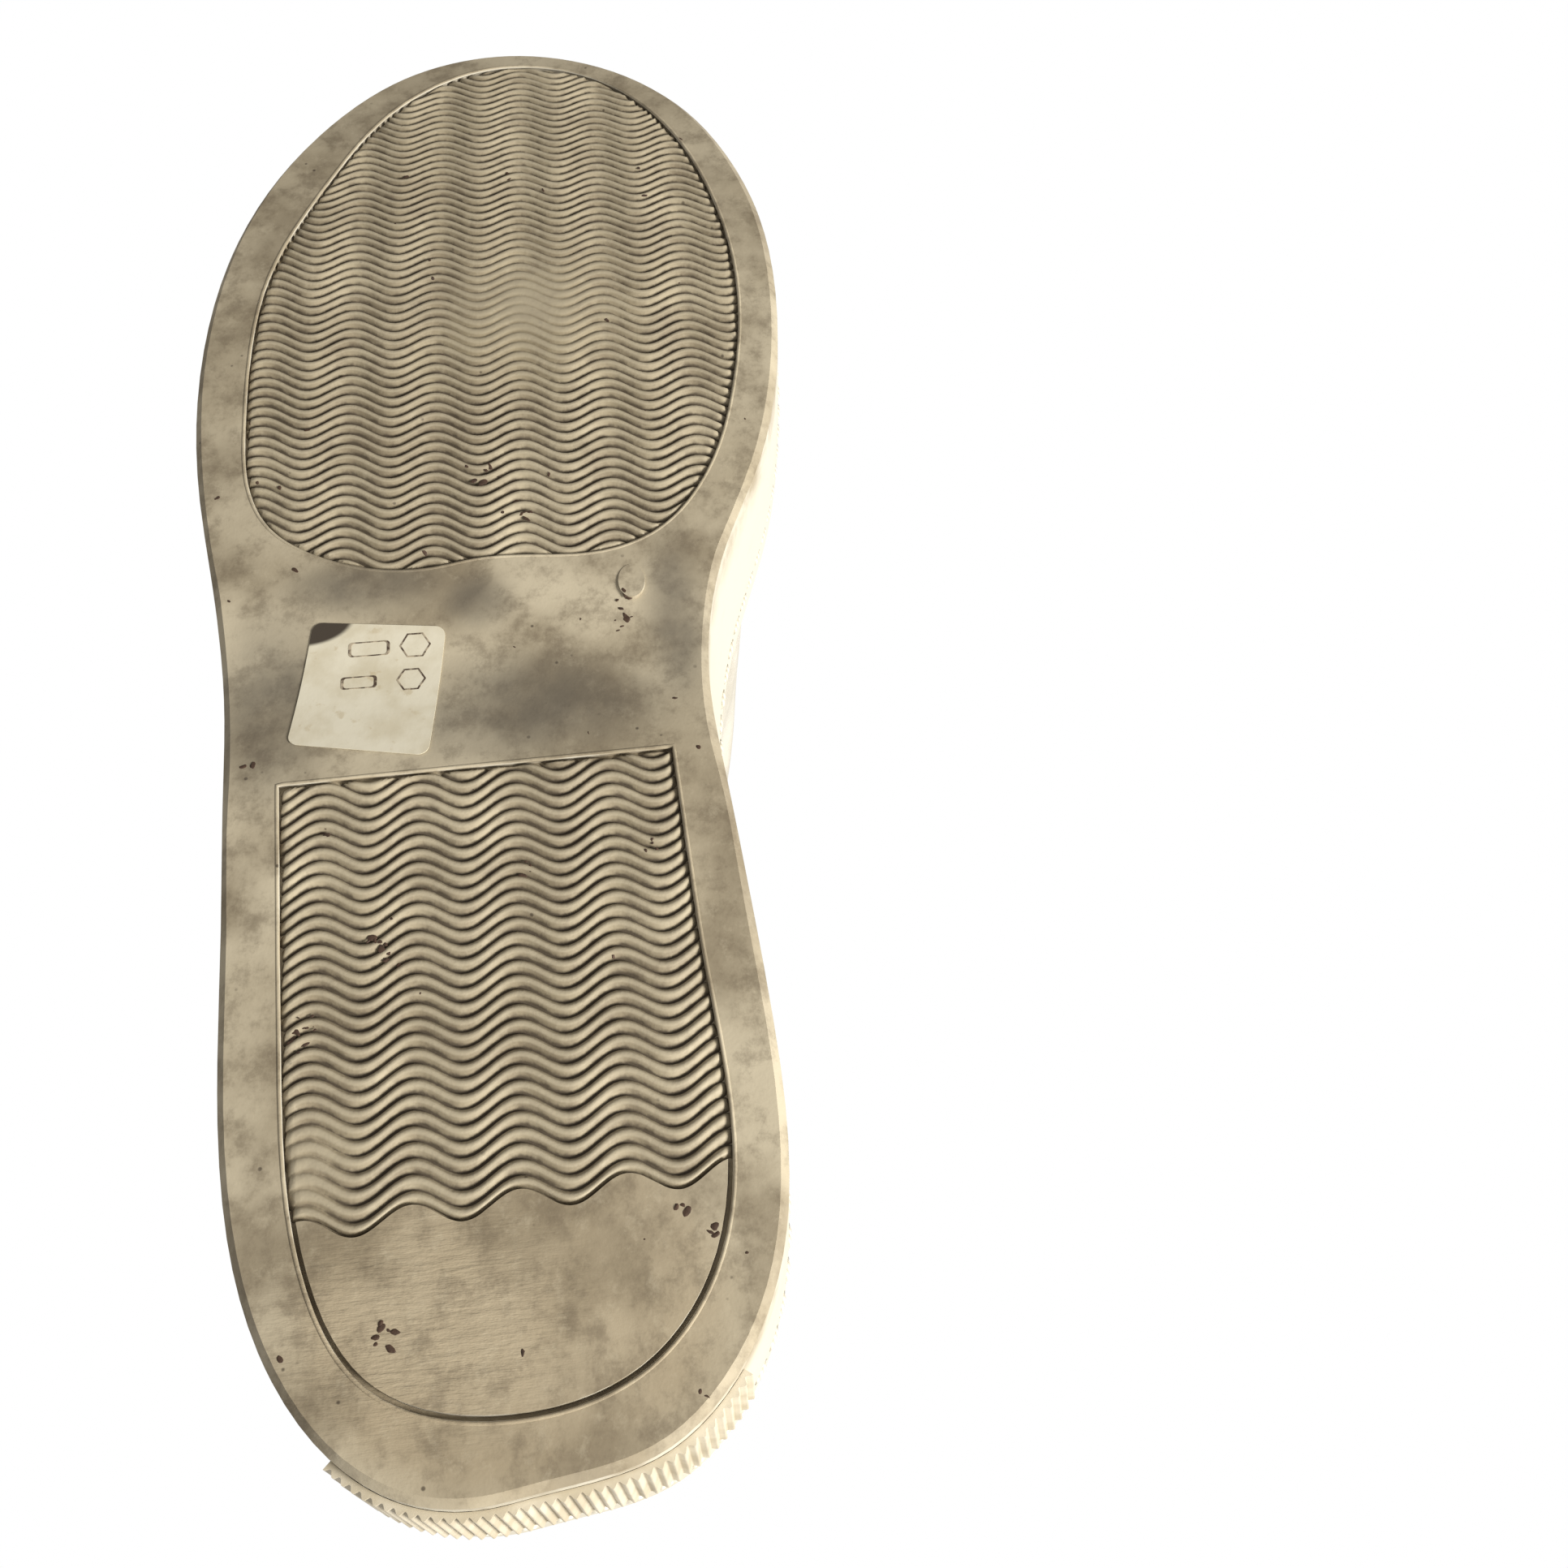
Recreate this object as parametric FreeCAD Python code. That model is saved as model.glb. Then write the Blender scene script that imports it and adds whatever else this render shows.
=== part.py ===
import FreeCAD, Part
import math
import os

# Court shoe for the right foot: a rubber cupsole with a leather upper.
# +X points to the toe, +Y to the inner (medial) side of the foot, +Z up, in millimetres.
# The model is laid out from the heel end of the sole and moved to its own middle at the end.

V = FreeCAD.Vector

# Overall sizes
LENGTH = 302.0            # sole, heel end to toe tip
WIDTH = 109.5             # sole across the ball of the foot
COLLAR_HEIGHT = 88.0      # ground to the top of the heel
TONGUE_HEIGHT = 124.0     # ground to the tip of the tongue

# Rubber cupsole
TOE_SPRING = 9.5          # how far the toe tip is lifted off the ground
TOE_START = 0.69          # where the toe starts to lift, as a share of the length
WAIST_LIFT = 1.6          # how far the waist is lifted between the two treads
WAIST_BACK = 0.36         # where the waist starts and ends, as shares of the length
WAIST_FRONT = 0.515
BASE = 5.5                # rubber under the foot
WALL = 4.5                # rubber wall around the upper
RIM_HEEL = 30.0           # height of the wall at the heel
RIM_FORE = 25.0           # height of the wall at the ball, above the lifted sole
FLARE = 2.2               # the wall leans out by this much at its rim, along the inner waist
BEVEL = 1.2               # bevel around the bottom edge
TREAD_DEPTH = 1.3         # the tread panels are sunk by this much
GROOVE = 1.1              # groove between a panel's border and its ridges or pad
PLATE = (7.0, 4.6, 0.35)  # blank oval plate on the waist: length, width, height

# Ribbed band around the heel
BAND_BOTTOM = 3.2
BAND_HEIGHT = 17.0
BAND_THICKNESS = 1.5
RIB_PITCH = 1.65
RIB_DEPTH = 0.7
RIB_STEPS = 8             # points along the curve of each rib
BAND_OUTER_END = -24.0    # how far along Y the band reaches on the outer side
BAND_INNER_END = 31.5     # and on the inner side

# Inside the cup
HEEL_FOAM = 9.0
FORE_FOAM = 4.0
BOARD = 1.6
FOOTBED = 3.6
FOOTBED_RIM = 9.0         # the footbed's heel cup rises this far above the board
MARGIN = 14.0             # upper leather folded under the board

# Upper: layers outwards from the foot
LINING = 0.9
STIFFENER = 0.9
LEATHER = 1.4
OVERLAY = 1.2
GLUE = 0.06               # gap that the cement fills between two layers
COLLAR_PAD = 4.0          # foam roll inside the collar
COLLAR_LINING = 0.8
COLLAR_DROP = 19.0        # height of the foam roll
COLLAR_FRONT = 112.0      # front ends of the foam roll, from the heel
BINDING = 1.6             # height of the rolled edge of the collar
SEAM = 0.3                # gap in a butt seam

# Throat, tongue and eyelets
THROAT_OPEN = 60.0        # the throat is cut open from here, from the heel
THROAT_START = 148.0      # back end of the eyelet rows
THROAT_END = 213.0        # front end of the throat
THROAT_BACK_HALF = 14.0   # half width of the throat at its open end
THROAT_FRONT_HALF = 10.5  # and at its front end
EYESTAY = 14.0            # width of each eyestay
EYELET_ROWS = 6
EYELET_BORE = 2.1         # radius
EYELET_FLANGE = 3.9       # radius
EYELET_WALL = 0.45
EYELET_EDGE = 6.0         # eyelet centre to the throat edge
EYELET_FIRST = 2.0        # rearmost eyelet to the back end of the rows
EYELET_LAST = 12.0        # foremost eyelet to the front end of the throat
TONGUE_LAYER = 1.1
TONGUE_FOAM = 3.2
TONGUE_GAP = 0.5          # clear gap between the tongue and the lining
TONGUE_HALF = 22.0        # half width of the tongue at its tip

# Sizes that follow
LEATHER_IN = LINING + GLUE + STIFFENER + GLUE
LEATHER_OUT = LEATHER_IN + LEATHER
OVERLAY_IN = LEATHER_OUT + GLUE
OVERLAY_OUT = OVERLAY_IN + OVERLAY
CUP_IN = LEATHER_OUT + 2 * GLUE
INSET = WALL + CUP_IN     # from the edge of the sole to the foot

# Blocks that cut the layers reach well past the shoe, to these bounds
FAR = 100.0               # half width
BACK = -60.0
FRONT = LENGTH + 60.0
LOW = -30.0
HIGH = 160.0

# Edge of the sole, as shares of LENGTH and WIDTH, once around from the heel by the outer side
OUTLINE = [(0.000, 0.000), (0.018, -0.199), (0.062, -0.297), (0.152, -0.374), (0.255, -0.396),
           (0.377, -0.415), (0.497, -0.451), (0.603, -0.502), (0.689, -0.509), (0.760, -0.490),
           (0.874, -0.396), (0.955, -0.252), (0.9965, -0.085), (0.997, 0.075), (0.944, 0.303),
           (0.848, 0.440), (0.747, 0.491), (0.680, 0.487), (0.579, 0.437), (0.503, 0.355),
           (0.430, 0.319), (0.374, 0.327), (0.285, 0.351), (0.190, 0.371), (0.096, 0.352),
           (0.040, 0.273), (0.009, 0.155)]

# Border of the forefoot tread, around from its rear edge by the outer side
FORE_PANEL = [(0.5095, -0.070), (0.5190, -0.279), (0.5520, -0.386), (0.6090, -0.423), (0.6755, -0.427),
              (0.7550, -0.405), (0.8480, -0.316), (0.9440, -0.173), (0.9810, 0.000), (0.9685, 0.148),
              (0.9100, 0.298), (0.8130, 0.395), (0.7235, 0.4265), (0.6160, 0.392), (0.5530, 0.326),
              (0.5150, 0.215)]

# Border of the heel tread: its two front corners, then its round side from inner to outer corner
HEEL_FRONT_INNER = (0.3755, 0.257)
HEEL_FRONT_OUTER = (0.3700, -0.332)
HEEL_ROUND = [(0.308, 0.269), (0.248, 0.281), (0.166, 0.3014), (0.096, 0.274), (0.0515, 0.1835),
              (0.0320, 0.000), (0.0510, -0.175), (0.1026, -0.261), (0.161, -0.294), (0.215, -0.306),
              (0.305, -0.3215)]

# Wavy ridges: one wave is WAVE long, the rows lean by ROW_LEAN, and the last heel row is here
WAVE = 15.4
WAVE_SWING = 1.75
ROW_LEAN = 0.060
LAST_ROW = 39.5           # middle of the last row of the heel tread, on the long axis
WAVE_CREST = 1.8          # place of one crest along Y

# Levels of the foot space: height, heel end, toe end (share of LENGTH), heel and fore width,
# and how far the arch side swells out over the rim
LEVELS = [(-15.0, 0.0, 1.000, 1.00, 1.00, 0.0),
          (-5.0, 0.0, 1.000, 1.00, 1.00, 0.0),
          (6.0, 0.0, 1.000, 1.00, 1.00, 0.0),
          (17.0, 0.0, 1.000, 1.00, 1.00, 0.0),
          (27.0, -0.3, 0.999, 1.00, 0.995, 2.0),
          (36.0, 0.0, 0.990, 0.97, 0.96, 5.5),
          (44.0, 1.2, 0.967, 0.93, 0.91, 6.5),
          (52.0, 3.2, 0.918, 0.88, 0.83, 5.5),
          (60.0, 5.4, 0.832, 0.84, 0.74, 4.0),
          (71.0, 7.8, 0.710, 0.80, 0.64, 2.0),
          (86.0, 8.0, 0.600, 0.79, 0.58, 0.5),
          (103.0, 5.0, 0.520, 0.81, 0.57, 0.0),
          (128.0, 1.0, 0.465, 0.83, 0.59, 0.0)]
RING = 32                 # points around each level


def spring(x):
    """Lift of the sole towards the toe."""
    start = TOE_START * LENGTH
    if x <= start:
        return 0.0
    return TOE_SPRING * ((x - start) / (LENGTH - start)) ** 1.8


def ground(x):
    """Height of the bottom of the sole."""
    share = (x / LENGTH - WAIST_BACK) / (WAIST_FRONT - WAIST_BACK)
    lift = WAIST_LIFT * math.sin(math.pi * share) ** 2 if 0.0 < share < 1.0 else 0.0
    return spring(x) + lift


def blend(share):
    share = min(1.0, max(0.0, share))
    return share * share * (3.0 - 2.0 * share)


def cup_floor(x):
    return spring(x) + BASE


def foam_top(x):
    """Top of the foam wedge: thick under the heel, thin under the ball."""
    return cup_floor(x) + HEEL_FOAM + (FORE_FOAM - HEEL_FOAM) * blend((x / LENGTH - 0.25) / 0.45)


def board_bottom(x):
    return foam_top(x) + LEATHER + 2 * GLUE


def board_top(x):
    return board_bottom(x) + BOARD


def rim(x):
    """Top edge of the rubber wall."""
    return RIM_HEEL + (RIM_FORE - RIM_HEEL) * blend((x / LENGTH - 0.15) / 0.45) + spring(x)


def closed_curve(points):
    """Smooth closed curve with evenly spaced knots, so that curves made alike loft well."""
    knots = [float(i) for i in range(len(points) + 1)]
    curve = Part.BSplineCurve()
    curve.interpolate(Points=points, PeriodicFlag=True, Parameters=knots)
    return curve


def open_curve(points):
    curve = Part.BSplineCurve()
    curve.interpolate(Points=points)
    return curve


def scaled(points, z=0.0):
    return [V(along * LENGTH, across * WIDTH, z) for along, across in points]


def ring_of(points):
    """The same count of points, evenly spaced by length around a closed outline."""
    curve = Part.BSplineCurve()
    curve.interpolate(Points=points, PeriodicFlag=True)
    length = curve.length()
    return [curve.value(curve.parameterAtDistance(i * length / RING, curve.FirstParameter))
            for i in range(RING)]


def outward(points, i):
    """Level unit vector that points out of a counterclockwise ring."""
    along = points[(i + 1) % len(points)] - points[i - 1]
    return V(along.y, -along.x, 0).normalize()


EDGE = ring_of(scaled(OUTLINE))


def waist_swell(x, y, swell):
    """Sideways swell of the inner side around the waist."""
    if y <= 0:
        return 0.0
    return swell * math.exp(-((x / LENGTH - 0.49) / 0.085) ** 2)


def sole_ring(offset, height, flare=0.0):
    """Edge of the sole moved out by an offset, at a height that may vary along the shoe."""
    points = []
    for i, point in enumerate(EDGE):
        moved = point + outward(EDGE, i) * offset
        points.append(V(moved.x, moved.y + waist_swell(moved.x, moved.y, flare), height(moved.x)))
    curve = closed_curve(points)
    return Part.Wire([curve.toShape(knot, knot + 2) for knot in range(0, RING, 2)])


def foot_level(height, heel, toe, heel_width, fore_width, swell, lifted):
    """Points of one level of the foot space."""
    inner = [point - outward(EDGE, i) * INSET for i, point in enumerate(EDGE)]
    back = min(point.x for point in inner)
    front = max(point.x for point in inner)
    new_back = back + heel
    new_front = front - (1.0 - toe) * LENGTH
    points = []
    for point in inner:
        share = (point.x - back) / (front - back)
        x = new_back + share * (new_front - new_back)
        width = heel_width + (fore_width - heel_width) * blend(share)
        y = point.y * width
        lift = spring(x) if lifted else 0.0
        points.append(V(x, y + waist_swell(x, y, swell), height + lift))
    return points


def level_heights():
    """Levels above the cup stretch with the height of the collar and of the tongue."""
    stretched = []
    for height, heel, toe, heel_width, fore_width, swell in LEVELS:
        if height > 36.0:
            height = 36.0 + (height - 36.0) * (COLLAR_HEIGHT - 36.0) / 48.0
        stretched.append((height, heel, toe, heel_width, fore_width, swell))
    return stretched


FOOT = [foot_level(*level, lifted=index > 1) for index, level in enumerate(level_heights())]


def foot(offset):
    """The foot space grown evenly by an offset: every layer of the upper lies between two of these."""
    wires = []
    last = len(FOOT) - 1
    for k, points in enumerate(FOOT):
        below = FOOT[max(k - 1, 0)]
        above = FOOT[min(k + 1, last)]
        grown = []
        for i, point in enumerate(points):
            along = points[(i + 1) % RING] - points[i - 1]
            normal = along.cross(above[i] - below[i])
            if k in (0, last):
                normal.z = 0.0
            grown.append(point + normal.normalize() * offset)
        wires.append(Part.Wire(closed_curve(grown).toShape()))
    return Part.makeLoft(wires, True, False)


FOOT_CACHE = {}


def grown_foot(offset):
    key = round(offset, 4)
    if key not in FOOT_CACHE:
        FOOT_CACHE[key] = foot(offset)
    return FOOT_CACHE[key]


def block(side_points):
    """Straight-sided block across the whole width, from its side view."""
    corners = [V(x, -FAR, z) for x, z in side_points]
    face = Part.Face(Part.makePolygon(corners + corners[:1]))
    return face.extrude(V(0, 2 * FAR, 0))


def height_edges(height, start, end):
    """Side-view edges of a height function: straight where it is level, smooth elsewhere."""
    stops = [start] + [share * LENGTH for share in (WAIST_BACK, WAIST_FRONT, TOE_START)] + [end]
    step = 0.01
    edges = []
    for a, b in zip(stops, stops[1:]):
        middle = height((a + b) / 2)
        if abs(height(a) - middle) < 1e-9 and abs(height(b) - middle) < 1e-9:
            edges.append(Part.makeLine(V(a, -FAR, middle), V(b, -FAR, middle)))
            continue
        count = max(4, round((b - a) / 8.0))
        xs = [a + (b - a) * i / count for i in range(count + 1)]
        curve = Part.BSplineCurve()
        curve.interpolate(Points=[V(x, -FAR, height(x)) for x in xs],
                          InitialTangent=V(step, 0, height(a + step) - height(a)),
                          FinalTangent=V(step, 0, height(b) - height(b - step)))
        edges.append(curve.toShape())
    return edges


def slab(low, high, start=-20.0, end=LENGTH + 20.0):
    """Block between two height functions of x."""
    back = Part.makeLine(V(start, -FAR, high(start)), V(start, -FAR, low(start)))
    front = Part.makeLine(V(end, -FAR, low(end)), V(end, -FAR, high(end)))
    edges = height_edges(low, start, end) + [front] + height_edges(high, start, end) + [back]
    face = Part.Face(Part.Wire(Part.sortEdges(edges)[0]))
    return face.extrude(V(0, 2 * FAR, 0))


def prism(wire, low=-10.0, high=HIGH):
    """Block above a flat outline."""
    face = Part.Face(wire)
    face.translate(V(0, 0, low - face.BoundBox.ZMin))
    return face.extrude(V(0, 0, high - low))


def plan_block(points, low=-10.0, high=HIGH):
    corners = [V(x, y, 0) for x, y in points]
    return prism(Part.makePolygon(corners + corners[:1]), low, high)


def high_above(x):
    return HIGH


def shell(inner, outer, *regions):
    """Layer of the upper between two offsets, within every one of the given blocks."""
    body = grown_foot(outer)
    for region in regions:
        body = body.common(region)
    return body.cut(grown_foot(inner))


def solid(shape):
    """The body of a boolean result."""
    return max(shape.Solids, key=lambda piece: piece.Volume)


# --- rubber sole -------------------------------------------------------------------------------

def sole_block():
    """Sole with a bevelled bottom edge and a flared wall, before it is cut to its side view."""
    over = 0.5
    rings = [sole_ring(-BEVEL - over, lambda x: -10.0),
             sole_ring(-BEVEL - over, lambda x: ground(x) - over),
             sole_ring(0.0, lambda x: ground(x) + BEVEL),
             sole_ring(0.0, lambda x: ground(x) + BASE),
             sole_ring(0.0, lambda x: ground(x) + RIM_FORE, FLARE),
             sole_ring(0.0, lambda x: RIM_HEEL + TOE_SPRING + 5.0, FLARE)]
    return Part.makeLoft(rings, True, True)


def fore_panel(inset=0.0):
    points = ring_of(scaled(FORE_PANEL))
    return closed_curve([p - outward(points, i) * inset for i, p in enumerate(points)])


def heel_panel(inset=0.0):
    """Flat front edge and a round rear, as a closed wire drawn a little inside its border."""
    inner = V(HEEL_FRONT_INNER[0] * LENGTH - inset, HEEL_FRONT_INNER[1] * WIDTH - inset, 0)
    outer = V(HEEL_FRONT_OUTER[0] * LENGTH - inset, HEEL_FRONT_OUTER[1] * WIDTH + inset, 0)
    border = scaled(HEEL_ROUND)
    centre = V(border[2].x, 0, 0)
    moved = []
    for point in border:
        away = point - centre
        if point.x > centre.x:
            away = V(0, away.y, 0)
        moved.append(point - away.normalize() * inset)
    return Part.Wire([open_curve([inner] + moved + [outer]).toShape(), Part.makeLine(outer, inner)])


def row_place(y):
    """Place along X of the last row of the heel tread."""
    return LAST_ROW + ROW_LEAN * y + WAVE_SWING * math.cos(2 * math.pi * (y - WAVE_CREST) / WAVE)


def worn_heel():
    """Block behind the last wavy row: there the pad inside the border is smooth."""
    count = 64
    ys = [-50.0 + 100.0 * i / count for i in range(count + 1)]
    curve = open_curve([V(row_place(y), y, 0) for y in ys]).toShape()
    back = -30.0
    lines = Part.makePolygon([V(row_place(50.0), 50.0, 0), V(back, 50.0, 0), V(back, -50.0, 0),
                              V(row_place(-50.0), -50.0, 0)])
    return prism(Part.Wire([curve] + lines.Edges))


def tread_recess():
    """The sunk parts of the bottom: both tread panels, with the smooth heel pad left standing."""
    skin = slab(lambda x: ground(x) - 2.0, lambda x: ground(x) + TREAD_DEPTH)
    fore = prism(Part.Wire(fore_panel().toShape()), -10.0, 25.0)
    heel = prism(heel_panel(), -10.0, 25.0)
    pad = prism(heel_panel(GROOVE), -10.0, 25.0).common(worn_heel())
    return [fore.common(skin), heel.common(skin).cut(pad)]


def oval_plate():
    """Blank moulded plate on the inner side of the waist."""
    length, width, height = PLATE
    x = 0.4885 * LENGTH
    y = 0.208 * WIDTH
    low = ground(x) - height
    ellipse = Part.Ellipse(V(x, y, low), length / 2, width / 2)
    return Part.Face(Part.Wire(ellipse.toShape())).extrude(V(0, 0, height + 1.0))


def cupsole():
    body = sole_block().common(slab(ground, rim))
    cavity = grown_foot(CUP_IN).common(slab(cup_floor, high_above))
    body = body.cut(cavity)
    for recess in tread_recess():
        body = body.cut(recess)
    return solid(body.fuse(oval_plate()))


def band_points(offset, start, end, steps, wavy):
    """Points along the heel edge, between two distances from the middle of the heel."""
    curve = closed_curve(EDGE)
    total = curve.length()
    points = []
    for i in range(steps + 1):
        distance = start + (end - start) * i / steps
        place = curve.parameterAtDistance(distance % total, curve.FirstParameter)
        point = curve.value(place)
        tangent = curve.tangent(place)[0]
        normal = V(tangent.y, -tangent.x, 0)
        depth = RIB_DEPTH * 0.5 * (1 - math.cos(2 * math.pi * distance / RIB_PITCH)) if wavy else 0.0
        points.append(point + normal * (offset - depth))
    return points


def heel_rib_band():
    """Raised band with upright ribs, glued around the back of the heel."""
    ribs_outer = round(-BAND_OUTER_END * 1.08 / RIB_PITCH)
    ribs_inner = round(BAND_INNER_END * 1.16 / RIB_PITCH)
    start = -ribs_inner * RIB_PITCH
    end = ribs_outer * RIB_PITCH
    count = ribs_outer + ribs_inner
    front = band_points(BAND_THICKNESS, start, end, count * RIB_STEPS, True)
    back = band_points(GLUE, start, end, count, False)
    outer = open_curve(front)
    valleys = [outer.parameter(point) for point in front[::RIB_STEPS]]
    ribs = [outer.toShape(a, b) for a, b in zip(valleys, valleys[1:])]
    inner = open_curve(list(reversed(back))).toShape()
    wire = Part.Wire(ribs + [Part.makeLine(front[-1], back[-1]), inner, Part.makeLine(back[0], front[0])])
    return prism(wire, BAND_BOTTOM, BAND_BOTTOM + BAND_HEIGHT)


def material_label():
    """Thin paper label on the outer side of the waist, with one notched corner."""
    corners = [(143.8, -32.0), (141.2, -9.4), (115.1, -12.0), (119.6, -35.3)]
    paper = plan_block(corners, -10.0, 20.0)
    upright = [edge for edge in paper.Edges if abs(edge.tangentAt(edge.FirstParameter).z) > 0.9]
    paper = paper.makeFillet(1.8, upright)
    return paper.common(slab(lambda x: ground(x) - 0.16 - GLUE / 2, lambda x: ground(x) - GLUE / 2))


# --- inside the cup ----------------------------------------------------------------------------

def board_hole(grow, low, high):
    """Block inside the folded margin of the upper, between two height functions."""
    edge = [point - outward(EDGE, i) * (INSET + MARGIN + grow) for i, point in enumerate(EDGE)]
    return prism(Part.Wire(closed_curve(edge).toShape())).common(slab(low, high))


def foam_wedge():
    body = grown_foot(LEATHER_OUT).common(slab(lambda x: cup_floor(x) + GLUE, lambda x: foam_top(x) - GLUE))
    filler = board_hole(0.4, lambda x: foam_top(x) - 1.0, lambda x: board_bottom(x) - GLUE)
    return solid(body.fuse(filler))


def insole_board():
    return solid(grown_foot(-GLUE).common(slab(board_bottom, board_top)))


def footbed_rim(x):
    return board_top(x) + FOOTBED + (FOOTBED_RIM - FOOTBED) * (1.0 - blend((x / LENGTH - 0.25) / 0.35))


def footbed():
    """Removable foam footbed with a raised heel cup."""
    body = grown_foot(-0.3).common(slab(lambda x: board_top(x) + GLUE, footbed_rim))
    bowl = grown_foot(-3.6).common(slab(lambda x: board_top(x) + FOOTBED, high_above))
    return solid(body.cut(bowl))


# --- upper -------------------------------------------------------------------------------------

def collar_line(drop=0.0):
    """Side view of all that lies below the collar, up to the open end of the throat."""
    top = COLLAR_HEIGHT - drop
    dip = COLLAR_HEIGHT - 20.0 - drop
    peak = COLLAR_HEIGHT + 15.0 - drop
    return [V(-30, 0, top + 1), V(2, 0, top + 1), V(18, 0, top - 2.5), V(38, 0, dip + 8.0), V(62, 0, dip + 0.5),
            V(86, 0, dip + 2.5), V(108, 0, dip + 13.0), V(126, 0, dip + 26.0), V(138, 0, peak)]


def below_collar(drop=0.0):
    """Everything under the collar line; in front of it the whole instep is kept."""
    line = collar_line(drop)
    curve = open_curve([V(p.x, -FAR, p.z) for p in line]).toShape()
    end = V(line[-1].x, -FAR, line[-1].z)
    front = [end, V(THROAT_START + 4, -FAR, end.z + 14), V(LENGTH + 40, -FAR, end.z + 14),
             V(LENGTH + 40, -FAR, -40), V(-30, -FAR, -40), V(-30, -FAR, line[0].z)]
    face = Part.Face(Part.Wire([curve] + Part.makePolygon(front).Edges))
    return face.extrude(V(0, 2 * FAR, 0))


def throat():
    """Opening for the tongue, open at the ankle and round at the front."""
    corner = THROAT_END - THROAT_FRONT_HALF
    outer_back = V(THROAT_OPEN, -THROAT_BACK_HALF, 0)
    outer_front = V(corner, -THROAT_FRONT_HALF, 0)
    inner_front = V(corner, THROAT_FRONT_HALF, 0)
    inner_back = V(THROAT_OPEN, THROAT_BACK_HALF, 0)
    arc = Part.Arc(outer_front, V(THROAT_END, 0, 0), inner_front).toShape()
    lines = [Part.makeLine(outer_back, outer_front), arc, Part.makeLine(inner_front, inner_back),
             Part.makeLine(inner_back, outer_back)]
    return prism(Part.Wire(lines), 20.0)


def outer_half():
    return plan_block([(BACK, -FAR), (FRONT, -FAR), (FRONT, -SEAM / 2), (BACK, -SEAM / 2)])


def inner_half():
    return plan_block([(BACK, SEAM / 2), (FRONT, SEAM / 2), (FRONT, FAR), (BACK, FAR)])


# Seam between the vamp and the quarters, in side view from the sole up
VAMP_SEAM = [(176.0, LOW), (176.0, 24.0), (190.0, 48.0), (203.0, 75.0), (204.0, HIGH)]


def in_front_of_seam(shift):
    points = [(x + shift, z) for x, z in VAMP_SEAM]
    return block(points + [(FRONT, HIGH), (FRONT, LOW)])


def behind_seam(shift):
    points = [(x - shift, z) for x, z in VAMP_SEAM]
    return block(points + [(BACK, HIGH), (BACK, LOW)])


def leather_layer():
    """Upper leather, from under the board up inside the cup and on to the collar."""
    outside = grown_foot(LEATHER_OUT).common(slab(foam_top, high_above)).common(below_collar(BINDING))
    inside = grown_foot(LEATHER_IN).common(slab(board_bottom, high_above))
    return outside.cut(inside).cut(throat())


def leather_piece(layer, side, holes):
    """One panel of the upper leather, with its folded margin left open under the board."""
    margin = board_hole(0.0, lambda x: foam_top(x) - 1.0, lambda x: board_bottom(x) + 1.0)
    return punched(layer.common(side).cut(margin), holes)


def lining_layer(inner, outer, drop):
    layer = shell(inner, outer, slab(lambda x: board_bottom(x) + GLUE, high_above), below_collar(drop))
    return layer.cut(throat())


def toe_puff():
    """Stiffener between the lining and the vamp, over the toes."""
    front = block([(246, LOW), (246, 20), (256, 80), (FRONT, 80), (FRONT, LOW)])
    above_board = slab(lambda x: board_bottom(x) + GLUE, high_above)
    return solid(shell(LINING + GLUE, LINING + GLUE + STIFFENER, above_board, front))


def heel_stiffener():
    """Stiff counter between the lining and the quarters, around the heel."""
    top = COLLAR_HEIGHT - COLLAR_DROP - 4.0
    rear = block([(BACK, LOW), (86, LOW), (84, 26), (40, top - 6), (10, top), (BACK, top)])
    above_board = slab(lambda x: board_bottom(x) + GLUE, high_above)
    return solid(shell(LINING + GLUE, LINING + GLUE + STIFFENER, above_board, rear))


def behind_tongue():
    return block([(BACK, LOW), (COLLAR_FRONT, LOW), (COLLAR_FRONT, HIGH), (BACK, HIGH)])


def collar_roll(inner, outer, drop_top, drop_bottom):
    """Part of a layer between two lines parallel to the collar, behind the tongue."""
    strip = below_collar(drop_top).cut(below_collar(drop_bottom))
    return solid(shell(inner, outer, strip, behind_tongue()))


def collar_binding():
    """Rolled edge that closes the top of the collar."""
    return collar_roll(-COLLAR_PAD - COLLAR_LINING, LEATHER_OUT, 0.0, BINDING - GLUE)


def throat_half(x):
    """Half width of the throat at a place along the shoe."""
    share = (x - THROAT_OPEN) / (THROAT_END - THROAT_FRONT_HALF - THROAT_OPEN)
    return THROAT_BACK_HALF + (THROAT_FRONT_HALF - THROAT_BACK_HALF) * share


def eyestay(side):
    """Facing along one side of the throat, in one piece down to the seam at its front end."""
    back = THROAT_START - 18.0
    corner = THROAT_END - THROAT_FRONT_HALF
    seam = SEAM / 2
    edges = []
    ends = []
    for radius, start in ((THROAT_FRONT_HALF + EYESTAY, throat_half(back) + EYESTAY),
                          (THROAT_FRONT_HALF, throat_half(back))):
        middle = V(corner + radius * math.sqrt(0.5), side * radius * math.sqrt(0.5), 0)
        front = V(corner + math.sqrt(radius ** 2 - seam ** 2), side * seam, 0)
        edges.append(Part.makeLine(V(back, side * start, 0), V(corner, side * radius, 0)))
        edges.append(Part.Arc(V(corner, side * radius, 0), middle, front).toShape())
        ends.append((V(back, side * start, 0), front))
    edges.append(Part.makeLine(ends[0][0], ends[1][0]))
    edges.append(Part.makeLine(ends[0][1], ends[1][1]))
    facing = prism(Part.Wire(Part.sortEdges(edges)[0]), 50.0, 150.0)
    return shell(OVERLAY_IN, OVERLAY_OUT, below_collar(BINDING), facing)


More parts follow.
